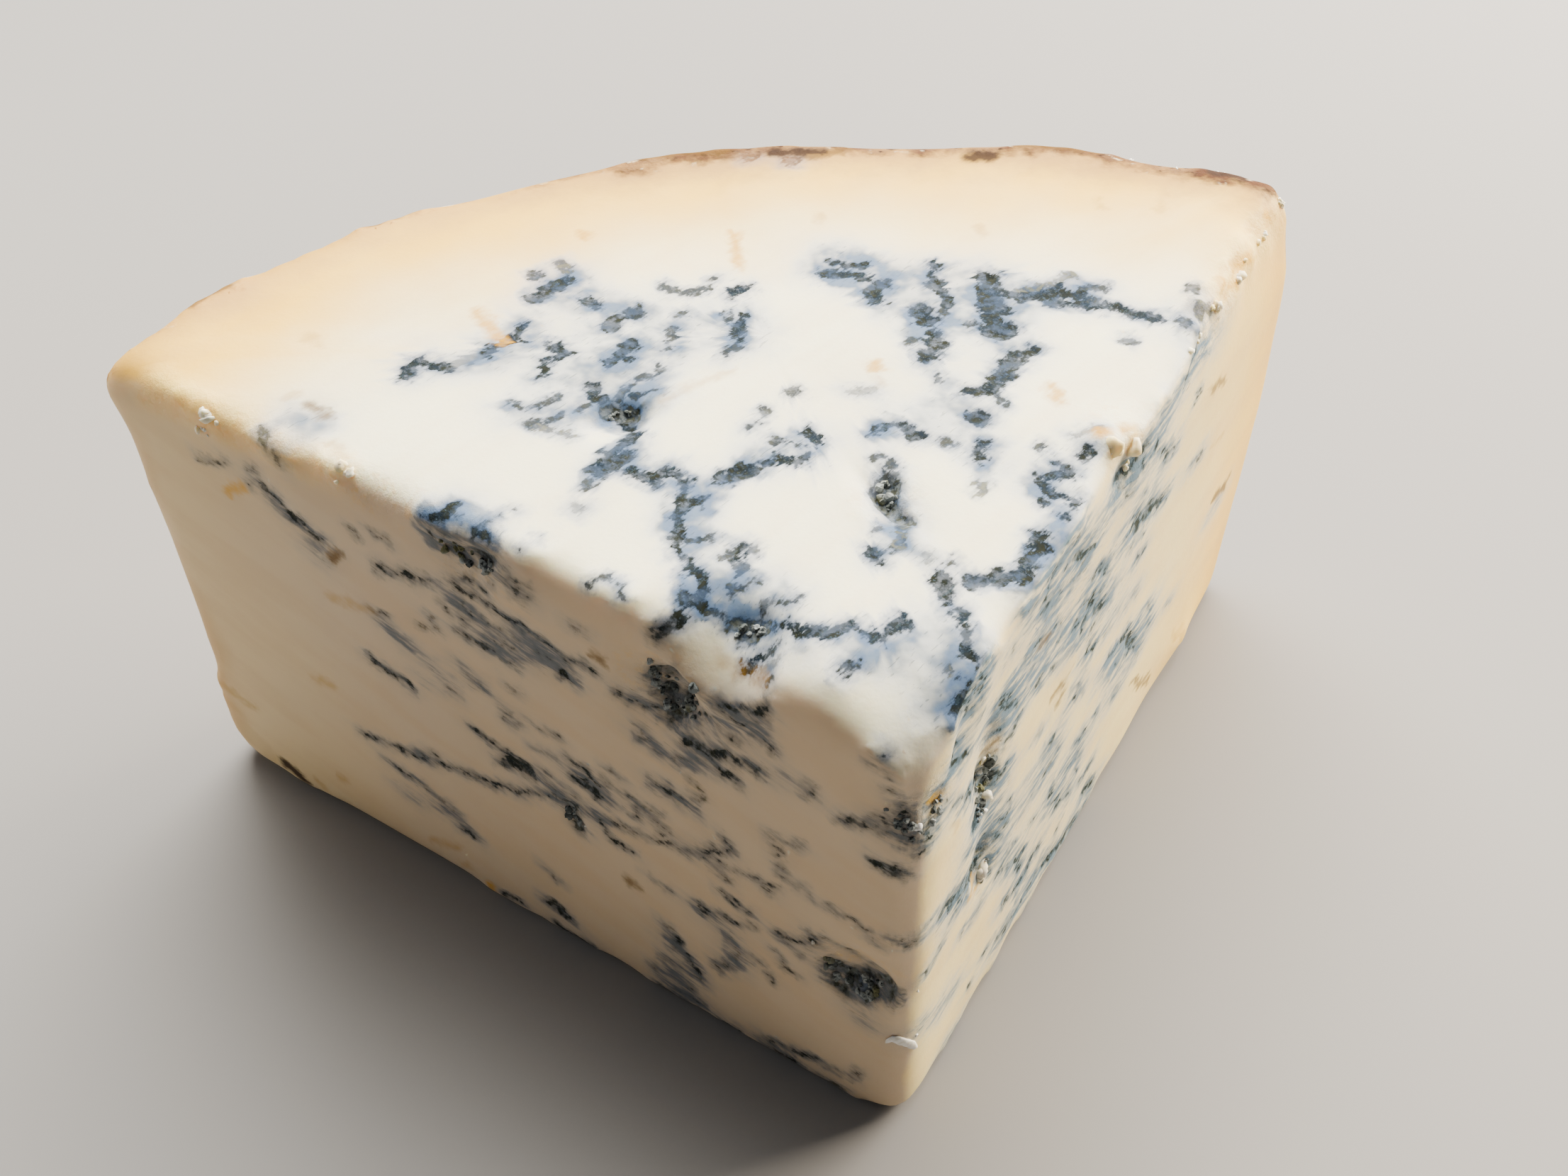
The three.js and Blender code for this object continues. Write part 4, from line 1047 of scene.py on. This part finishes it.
for name in ("vein", "dark", "olive", "stain", "dry", "brown", "strength"):
    store(name, found[name])
store("below_rind", below_rind)
store("gaping", gaping)
store("rind", on_rind.astype(float))
store("torn", crumbly)
store("facing_up", np.clip(normals[:, 2] * 2.5 - 0.9, 0, 1))
store("left_side", np.clip(2 * normals @ np.array(OUT_LEFT - OUT_RIGHT) + 1.5, 0, 1))

# ---- Material: ripe blue cheese -----------------------------------------------------------
# Moist, milky paste that lets light in a few millimetres, so its shaded edges glow warm. It is
# nearly white in the middle, cream and then tan towards the rind, which is dry and dull.


def linear(colour):
    """A colour given as sRGB hex, as Blender's linear values."""
    shares = [int(colour[i:i + 2], 16) / 255 for i in (1, 3, 5)]
    return [s / 12.92 if s <= 0.04045 else ((s + 0.055) / 1.055) ** 2.4 for s in shares] + [1]


def add_node(tree, kind, inputs=None, **settings):
    """Adds one node with its settings; each input is a value or another node's output."""
    node = tree.nodes.new(kind)
    for name, value in settings.items():
        setattr(node, name, value)
    for key, value in (inputs or {}).items():
        if isinstance(value, bpy.types.NodeSocket):
            tree.links.new(value, node.inputs[key])
        else:
            node.inputs[key].default_value = value
    return node


def start_material(name):
    """A new material, its empty tree of nodes and the object coordinates in it."""
    material = bpy.data.materials.new(name)
    material.use_nodes = True
    material.node_tree.nodes.clear()
    coordinates = add_node(material.node_tree, "ShaderNodeTexCoord")
    return material, material.node_tree, coordinates.outputs["Object"]


def finish_material(piece, skin_inputs):
    """Ends the tree in a skin with these inputs, and gives the piece the material."""
    skin = add_node(tree, "ShaderNodeBsdfPrincipled", skin_inputs)
    add_node(tree, "ShaderNodeOutputMaterial", {"Surface": skin.outputs[0]})
    piece.data.materials.clear()
    piece.data.materials.append(material)


material, tree, object_place = start_material("Ripe blue cheese")


def stored(name):
    return add_node(tree, "ShaderNodeAttribute", attribute_name=name).outputs["Fac"]


def grain(size, detail=2, rough=0.5, distortion=0.0):
    """Noise from 0 to 1 with lumps of this size in mm."""
    return add_node(tree, "ShaderNodeTexNoise", {
        "Vector": object_place, "Scale": 1 / (size * MM), "Detail": detail,
        "Roughness": rough, "Distortion": distortion,
    }).outputs["Fac"]


def math_of(operation, a, b=0.0, clamp=False):
    return add_node(tree, "ShaderNodeMath", {0: a, 1: b}, operation=operation,
                    use_clamp=clamp).outputs[0]


def ramp(value, low, high, to_low=0.0, to_high=1.0):
    """Runs smoothly from one value to another as its input goes from low to high."""
    return add_node(tree, "ShaderNodeMapRange", {
        "Value": value, "From Min": low, "From Max": high, "To Min": to_low, "To Max": to_high,
    }, interpolation_type="SMOOTHSTEP").outputs[0]


def blend(share, colour_a, colour_b):
    return add_node(tree, "ShaderNodeMix", {0: share, 6: colour_a, 7: colour_b},
                    data_type="RGBA").outputs[2]


def mix_values(share, a, b):
    return add_node(tree, "ShaderNodeMix", {0: share, 2: a, 3: b}).outputs[0]


vein, dark, olive = stored("vein"), stored("dark"), stored("olive")
stain, dry, brown = stored("stain"), stored("dry"), stored("brown")
below, gaping_here, facing_up = stored("below_rind"), stored("gaping"), stored("facing_up")
left_side, dry_strength, rind = stored("left_side"), stored("strength"), stored("rind")
torn = stored("torn")


def streak_frame(along, facing):
    """The turn of a pattern that runs along the knife's smear on a face."""
    across = facing.cross(along).normalized()
    along = across.cross(facing)
    return Matrix((along, across, facing)).transposed().to_euler()


SMEARS = {
    "top": streak_frame(Vector((0.83, 0.55, 0)), UP),
    "left": streak_frame(LEFT_DRAG, OUT_LEFT),
    "right": streak_frame(DRAG, OUT_RIGHT),
}


def combed(length, width, detail=2, rough=0.5):
    """Noise from 0 to 1 drawn out along the smear of each cut face, in mm."""
    face = {}
    for name, rotation in SMEARS.items():
        drawn = add_node(tree, "ShaderNodeMapping", {
            "Vector": object_place, "Rotation": rotation,
            "Scale": (length * MM, width * MM, width * MM),
        }, vector_type="TEXTURE").outputs[0]
        face[name] = add_node(tree, "ShaderNodeTexNoise", {
            "Vector": drawn, "Scale": 1.0, "Detail": detail, "Roughness": rough,
        }).outputs["Fac"]
    return mix_values(facing_up, mix_values(left_side, face["right"], face["left"]), face["top"])


def by_face(top, left, right):
    """The value for whichever cut face this is."""
    return mix_values(facing_up, mix_values(left_side, right, left), top)


def colour_by_face(top, left, right):
    sides = blend(left_side, linear(right), linear(left))
    return blend(facing_up, sides, linear(top))


def centred(value, height):
    """Noise from 0 to 1 turned into a length in mm either side of nothing."""
    return math_of("MULTIPLY", math_of("SUBTRACT", value, 0.5), height)


# The paste: white at heart on the top, creamier on the right cut, tan by the rind.
# Partly painted light and shade: the lit top is whiter, the shaded left cut darker and greyer.
depth_of_paste = math_of("ADD", below, centred(grain(16, 3), 14))
near_colour = colour_by_face("#EEBC34", "#ECD2A0", "#FCCC60")
heart_colour = colour_by_face("#F8F1CC", "#D9C2A2", "#FAE19C")
paste = blend(ramp(depth_of_paste, 4, by_face(36, 40, 40)), near_colour, heart_colour)
tanned = ramp(depth_of_paste, by_face(8, 5, 8), -2, 0.0, by_face(0.8, 0.5, 0.3))
paste = blend(tanned, paste, linear("#BC8C40"))
mottled = ramp(combed(22, 5, 3, 0.6), 0.4, 0.65)
paste = blend(math_of("MULTIPLY", mottled, by_face(0.12, 0.2, 0.2)), paste, linear("#D2AC78"))
warm = math_of("MULTIPLY", torn, ramp(below, 40, 26))
paste = blend(math_of("MULTIPLY", warm, 0.8), paste, linear("#FFDC88"))
crevice = math_of("MULTIPLY", ramp(grain(1.5, 3, 0.6), 0.5, 0.64), torn)
paste = blend(math_of("MULTIPLY", crevice, 0.35), paste, linear("#E8B450"))

# The stain of young blue mould in the paste around a vein: pale at first, then slate blue.
smear = combed(4, 0.75, 3, 0.6)
cloud = grain(3.2, 2)
least, most = by_face(0.75, 0.6, 0.5), by_face(1.3, 1.3, 1.4)
patchy = ramp(by_face(cloud, smear, smear), 0.3, 0.7, least, most)
stain_here = math_of("MULTIPLY", stain, patchy)
stain_colour = blend(
    ramp(stain_here, 0.35, 1.0),
    colour_by_face("#A4B2CA", "#B0A89C", "#AEBCC2"),
    colour_by_face("#5C6E84", "#747678", "#6C8290"),
)
paste = blend(math_of("MULTIPLY", stain_here, 0.95, clamp=True), paste, stain_colour)

# The mould itself: ragged, drawn out along the smear, laced with paste, near-black to slate.
streaks = math_of("SUBTRACT", combed(2.2, 0.42, 3, 0.6), 0.5)
streaks = math_of("MULTIPLY", streaks, by_face(1.6, 1.4, 1.9))
streaks = math_of("MULTIPLY", streaks, ramp(torn, 0.2, 0.8, 1.0, 0.3))
ragged_edge = math_of("ADD", centred(grain(0.7, 3, 0.6), 1.0), centred(grain(1.8, 2), 1.3))
ragged_edge = math_of("ADD", ragged_edge, streaks)
edge = math_of("ADD", math_of("ADD", vein, by_face(0, -0.12, -0.05)), ragged_edge)
fringe = math_of("MULTIPLY", ramp(edge, by_face(-1.3, -1.1, -1.1), 0.15), dark)
fringe = math_of("MULTIPLY", fringe, by_face(0.58, 0.55, 0.65))
core = math_of("MULTIPLY", ramp(edge, by_face(-0.36, -0.2, -0.15), by_face(0.05, 0.25, 0.25)), dark)
broken = ramp(grain(1.4, 3, 0.65), 0.38, 0.56, by_face(0.7, 0.5, 0.45), 1.0)
core = math_of("MULTIPLY", core, broken)
lace = ramp(grain(0.5, 3, 0.65, 0.3), 0.56, 0.66, 1.0, by_face(0.78, 0.75, 0.45))
fringe_colour = blend(
    grain(1.3, 2),
    colour_by_face("#26426A", "#464E52", "#475E6C"),
    colour_by_face("#4C6892", "#626664", "#627A86"),
)
core_colour = blend(
    ramp(grain(1.7, 3), 0.35, 0.65),
    colour_by_face("#0A120E", "#181E1A", "#1C231C"),
    colour_by_face("#101E2A", "#22292B", "#28363C"),
)
fleck_colour = colour_by_face("#34485A", "#5C6664", "#4C5A5E")
core_colour = blend(ramp(grain(0.35, 2), 0.62, 0.8), core_colour, fleck_colour)
crumb = ramp(grain(0.9, 3, 0.6), 0.4, 0.62)
crumb_colour = blend(crumb, linear("#232827"), linear("#7C8280"))
core_colour = blend(gaping_here, core_colour, crumb_colour)
olive_share = math_of("MULTIPLY", olive, ramp(grain(0.7, 2), 0.45, 0.62))
core_colour = blend(olive_share, core_colour, linear("#4E4C28"))
colour = blend(fringe, paste, fringe_colour)
colour = blend(math_of("MULTIPLY", core, lace), colour, core_colour)

# Thin veinlets and khaki flecks of spores in the stained paste between the veins.
veinlet = math_of("MULTIPLY", ramp(combed(1.7, 0.3, 2), 0.62, 0.7), ramp(stain, 0.2, 0.65))
colour = blend(math_of("MULTIPLY", veinlet, by_face(0.45, 0.35, 0.6)), colour, linear("#2F4149"))
fleck = math_of("MULTIPLY", ramp(grain(0.4, 1), 0.7, 0.76), ramp(edge, -1.1, -0.3))
colour = blend(math_of("MULTIPLY", fleck, 0.3), colour, linear("#4E5236"))

# The rind: dry grey-brown crust, dusted with pale mould, and golden where it is younger. Its
# brown soaks a few millimetres into the top.
across = add_node(tree, "ShaderNodeSeparateXYZ", {"Vector": object_place}).outputs["X"]
across = math_of("ADD", across, centred(grain(9, 3), 0.05))
golden = ramp(across, 0.0, -40 * MM)
crust_reach = math_of("ADD", below, centred(grain(5, 4, 0.65), by_face(8, 2, 2)))
crust_reach = math_of("ADD", crust_reach, math_of("MULTIPLY", golden, 2.5))
crust_share = ramp(crust_reach, by_face(4, 1.2, 1.2), by_face(1, -0.2, -0.2))
crust_share = math_of("MAXIMUM", crust_share, rind)
crust_colour = blend(ramp(grain(7, 4), 0.35, 0.65), linear("#4E2E1A"), linear("#80603C"))
crust_colour = blend(ramp(grain(1.1, 3), 0.5, 0.68), crust_colour, linear("#2A170E"))
golden_colour = blend(ramp(grain(1.6, 4), 0.4, 0.7), linear("#C4924E"), linear("#8A5C34"))
crust_colour = blend(math_of("MULTIPLY", golden, 0.85), crust_colour, golden_colour)
crust_colour = blend(ramp(grain(2.2, 4), 0.6, 0.72), crust_colour, linear("#C9BBA0"))
soaked = math_of("MULTIPLY", ramp(crust_reach, 11, 2), by_face(0.62, 0.12, 0.15))
colour = blend(soaked, colour, blend(golden, linear("#8A6030"), linear("#BC9048")))
colour = blend(crust_share, colour, crust_colour)

# Veins that dried out: ochre in the paste, and brown near the rind.
dry_edge = math_of("ADD", dry, math_of("MULTIPLY", ragged_edge, 0.6))
ochre = colour_by_face("#CC9400", "#DCA010", "#E0AC20")
dry_colour = blend(brown, ochre, linear("#322015"))
dry_share = math_of("MULTIPLY", ramp(dry_edge, -0.7, 0.6), dry_strength)
colour = blend(dry_share, colour, dry_colour)

dull = math_of("MAXIMUM", core, math_of("MULTIPLY", dry_share, brown))
dull = math_of("MAXIMUM", dull, crust_share)
roughness = mix_values(dull, 0.48, 0.9)
fine = math_of("ADD", math_of("MULTIPLY", grain(0.5, 3), 0.25), grain(4, 4))
fine = math_of("SUBTRACT", fine, math_of("MULTIPLY", core, 0.15))
unevenness = math_of("ADD", math_of("MULTIPLY", crust_share, 3.0), math_of("MULTIPLY", torn, 3.0))
rough_bump = math_of("MULTIPLY", grain(0.9, 4, 0.7), unevenness)
bump = add_node(tree, "ShaderNodeBump", {
    "Height": math_of("ADD", fine, rough_bump), "Distance": 0.12 * MM, "Strength": 0.6,
})
finish_material(cheese, {
    "Base Color": colour, "Roughness": roughness, "Normal": bump.outputs[0],
    "Specular IOR Level": 0.14, "Subsurface Weight": 0.35,
    "Subsurface Radius": (1.0, 0.82, 0.42), "Subsurface Scale": 3.4 * MM,
})

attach(cheese, "root")
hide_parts("cheese_wedge")

# ---- Crumbs of mould ----------------------------------------------------------------------
# In the open veins the mould has eaten the curd to grey, dry crumbs, which sit loosely in the
# hollow between dark gaps.
torn_surface = surface_of(cheese_mesh)


def lie_about(draw, place, spots):
    """Random places on the torn surface: each spot is a middle, half its spread and a count."""
    found_places = []
    for (a, b), (wide, high), number in spots:
        for _ in range(number):
            point = place(a + wide * draw.uniform(-1, 1), b + high * draw.uniform(-1, 1))
            found_places.append(laid_on(torn_surface, point))
    return found_places


def add_crumbs(name, places, smallest, largest, flattest, draw):
    """One mesh of irregular crumbs, each half sunk where it lies, with its own tone."""
    bpy.ops.object.select_all(action="DESELECT")
    bpy.ops.mesh.primitive_ico_sphere_add(subdivisions=2, radius=1)
    crumbs = bpy.context.object
    crumbs.name = name
    ball = np.array([v.co for v in crumbs.data.vertices])
    faces = np.array([tuple(p.vertices) for p in crumbs.data.polygons])
    points, corners, tones = [], [], []
    for place in places:
        size = smallest + (largest - smallest) * draw.random() ** 2
        shift = Vector([draw.uniform(0, 90) for _ in range(3)])
        swell = [1 + 0.7 * noise.noise(Vector(v) * 1.1 + shift) for v in ball]
        flat = np.array([draw.uniform(flattest, 1) for _ in range(3)])
        turned = Matrix.Rotation(draw.uniform(0, 6), 3, Vector(ball[draw.randrange(40)]))
        crumb_points = (ball * np.array(swell)[:, None] * flat * size / 2) @ np.array(turned)
        corners.append(faces + len(points) * len(ball))
        points.append((crumb_points + np.array(place)) * MM)
        tones += [draw.random()] * len(ball)
    mesh = bpy.data.meshes.new(name)
    mesh.from_pydata(np.concatenate(points).tolist(), [], np.concatenate(corners).tolist())
    crumbs.data = mesh
    tone = mesh.attributes.new("tone", "FLOAT", "POINT")
    tone.data.foreach_set("value", np.array(tones, np.float32))
    return crumbs


draw = random.Random(11)
places = lie_about(draw, on_left, [
    ((25.6, 54.4), (2.6, 2.6), 34),
    ((6.2, 23.6), (3.4, 2.0), 30),
    ((49.5, 59.4), (3.2, 1.0), 16),
    ((41, 25.4), (1.0, 1.8), 10),
    ((1.6, 51.2), (1.8, 1.3), 14),
])
places += lie_about(draw, on_top, [
    ((-17.2, -0.8), (1.4, 0.6), 7),
    ((5.4, -19.6), (0.8, 2.4), 10),
    ((-11, -33.4), (1.3, 0.6), 6),
])
places += lie_about(draw, on_right, [
    ((13.4, 44.6), (1.6, 2.4), 16),
    ((13.2, 39.2), (0.9, 1.8), 8),
    ((15.9, 27), (0.7, 1.4), 8),
    ((3, 51.6), (1.0, 1.8), 8),
])
mould_crumbs = add_crumbs("mould_crumbs", places, 0.5, 1.4, 0.6, draw)
material, tree, object_place = start_material("Dry mould crumbs")
colour = blend(stored("tone"), linear("#4A504E"), linear("#9CA2A0"))
colour = blend(ramp(grain(0.4, 2), 0.5, 0.7), colour, linear("#1C2220"))
colour = blend(ramp(grain(3, 1), 0.55, 0.7), colour, linear("#6A6A4C"))
finish_material(mould_crumbs, {
    "Base Color": colour, "Roughness": 0.9, "Specular IOR Level": 0.15,
})
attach(mould_crumbs, "root")

# ---- Crumbs of curd -----------------------------------------------------------------------
# The wire tore pale bits of curd loose along the top edges of both cuts and in the open veins
# of the right one. Some have dried to a golden tone.
draw = random.Random(23)
places = lie_about(draw, on_top, [
    ((43.4, -3.4), (1.0, 1.0), 3),
    ((29.0, -17.6), (0.6, 1.2), 3),
    ((-58, 9.2), (1.2, 2), 6),
    ((-44.8, -2.6), (1, 2), 5),
    ((51.5, 2.4), (1.6, 1.4), 4),
    ((58.6, 8.4), (1.4, 1.8), 5),
    ((64.4, 14.2), (1.3, 1.8), 4),
    ((69.4, 19.4), (1, 1.4), 3),
])
places += lie_about(draw, on_right, [
    ((15.4, 27.4), (0.4, 1.2), 3),
    ((14.6, 39.8), (0.6, 0.8), 2),
    ((12.2, 48), (0.6, 1.0), 2),
    ((43.6, 61.4), (1.4, 0.6), 3),
])
curd_crumbs = add_crumbs("curd_crumbs", places, 0.8, 2.2, 0.4, draw)
curd_crumbs.data.shade_smooth()
material, tree, object_place = start_material("Torn curd")
colour = blend(ramp(stored("tone"), 0.5, 1.0), linear("#F8EED2"), linear("#EED49A"))
colour = blend(ramp(grain(0.8, 2), 0.5, 0.75), colour, linear("#E8CC90"))
finish_material(curd_crumbs, {
    "Base Color": colour, "Roughness": 0.6, "Subsurface Weight": 0.35,
    "Subsurface Radius": (1.0, 0.72, 0.32), "Subsurface Scale": 1.5 * MM,
})
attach(curd_crumbs, "root")

# ---- White flakes -------------------------------------------------------------------------
# Dry white flakes of paste, smaller than the crumbs, cling to the rim of the rind, to the edges
# of the cuts and in the open veins.
draw = random.Random(31)
places = lie_about(draw, on_top, [
    ((52.1, 34.4), (0.8, 0.4), 2),
    ((56.3, 30.9), (0.8, 0.4), 2),
    ((61.3, 29.6), (0.6, 0.4), 2),
    ((-57.7, 7.2), (0.4, 0.4), 1),
    ((28.8, -17.4), (0.7, 1.2), 2),
])
places += lie_about(draw, on_left, [
    ((10.7, 26.4), (0.3, 0.3), 1),
    ((39.6, 25.3), (0.3, 0.4), 1),
    ((0.3, 51.6), (0.5, 0.5), 3),
    ((84.6, 59.2), (0.5, 0.5), 2),
])
places += lie_about(draw, on_right, [
    ((1.7, 23.7), (0.3, 0.5), 1),
    ((2.3, 15.3), (0.1, 0.5), 3),
    ((14.6, 38.6), (0.6, 0.8), 3),
    ((12.6, 46.6), (0.4, 0.6), 2),
])
flakes = add_crumbs("white_flakes", places, 0.35, 0.8, 0.4, draw)
flakes.data.shade_smooth()
material, tree, object_place = start_material("Dry white flakes")
colour = blend(ramp(grain(0.7, 2), 0.4, 0.7), linear("#F6F2EA"), linear("#E2DCCB"))
finish_material(flakes, {
    "Base Color": colour, "Roughness": 0.8, "Subsurface Weight": 0.3,
    "Subsurface Radius": (1.0, 0.8, 0.6), "Subsurface Scale": 1.0 * MM,
})
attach(flakes, "root")

# ---- Shaving of paste ---------------------------------------------------------------------
# One thin shaving of white paste that the wire left is stuck flat round the tip near its foot.
# It is widest in the middle and narrows towards both ends.
SHAVING_SIDES = 8
SHAVING_WIDTH = 0.85
SHAVING_THICKNESS = 0.16
path = [on_left(2.3, 15.8), on_left(1.6, 16.9), on_left(0.5, 17.4), on_right(0.6, 16.5)]
path = [laid_on(torn_surface, point) for point in stepped(path + [on_right(2.4, 13.5)])]
rings, faces = [], []
for i, place in enumerate(path):
    share = i / (len(path) - 1)
    facing = torn_surface.find_nearest(place)[1]
    narrowed = min(1, 0.3 + 2.2 * share, 0.4 + 5 * (1 - share))
    wide = SHAVING_WIDTH * narrowed + 0.1 * noise.noise(place * 1.7)
    for corner in range(SHAVING_SIDES):
        turn = math.tau * corner / SHAVING_SIDES
        lift = 0.12 + SHAVING_THICKNESS * math.sin(turn)
        rings.append((place + UP * wide * math.cos(turn) + facing * lift) * MM)
for first in range(0, len(rings) - SHAVING_SIDES, SHAVING_SIDES):
    for corner in range(SHAVING_SIDES):
        here = first + corner
        beside = first + (corner + 1) % SHAVING_SIDES
        faces.append([here, beside, beside + SHAVING_SIDES, here + SHAVING_SIDES])
faces.append(list(range(SHAVING_SIDES))[::-1])
faces.append(list(range(len(rings) - SHAVING_SIDES, len(rings))))
shaving_mesh = bpy.data.meshes.new("paste_shaving")
shaving_mesh.from_pydata(rings, [], faces)
shaving_mesh.materials.append(material)
shaving = bpy.data.objects.new("paste_shaving", shaving_mesh)
bpy.context.scene.collection.objects.link(shaving)
make_active(shaving)
edit_all(lambda: bpy.ops.mesh.normals_make_consistent(inside=False))
bpy.ops.object.shade_smooth()
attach(shaving, "root")

# ---- Table and light ----------------------------------------------------------------------
# A plain pale table top under a broad soft window light from above and behind, a smaller
# light from the right and a weak fill from the left.
bpy.ops.object.select_all(action="DESELECT")
bpy.ops.mesh.primitive_plane_add(size=4)
floor = bpy.context.object
floor.name = "table_top"
floor_material = bpy.data.materials.new("Pale matt table")
floor_material.use_nodes = True
floor_skin = floor_material.node_tree.nodes["Principled BSDF"]
floor_skin.inputs["Base Color"].default_value = linear("#8C8A88")
floor_skin.inputs["Roughness"].default_value = 1.0
floor_skin.inputs["Specular IOR Level"].default_value = 0.0
floor.data.materials.append(floor_material)


LIGHT_AIM = Vector((0, 0, 0.03))


def add_light(name, place, size, power, colour):
    """A square soft light that shines at the middle of the wedge."""
    aim = LIGHT_AIM - Vector(place)
    rotation = aim.to_track_quat("-Z", "Y").to_euler()
    bpy.ops.object.light_add(type="AREA", location=place, rotation=rotation)
    light = bpy.context.object
    light.name = name
    light.data.size = size
    light.data.energy = power
    light.data.color = linear(colour)[:3]


add_light("window", (0.14, 0.56, 0.7), 0.9, 52, "#FFFAF0")
add_light("side", (0.5, 0.14, 0.25), 0.3, 13, "#FFF2DE")
add_light("left_fill", (-0.25, 0.14, 0.02), 0.2, 0.5, "#FFF4EA")
world = bpy.data.worlds.new("soft room")
world.use_nodes = True
background = world.node_tree.nodes["Background"]
background.inputs["Color"].default_value = linear("#E2E9F5")
background.inputs["Strength"].default_value = 0.14
bpy.context.scene.world = world
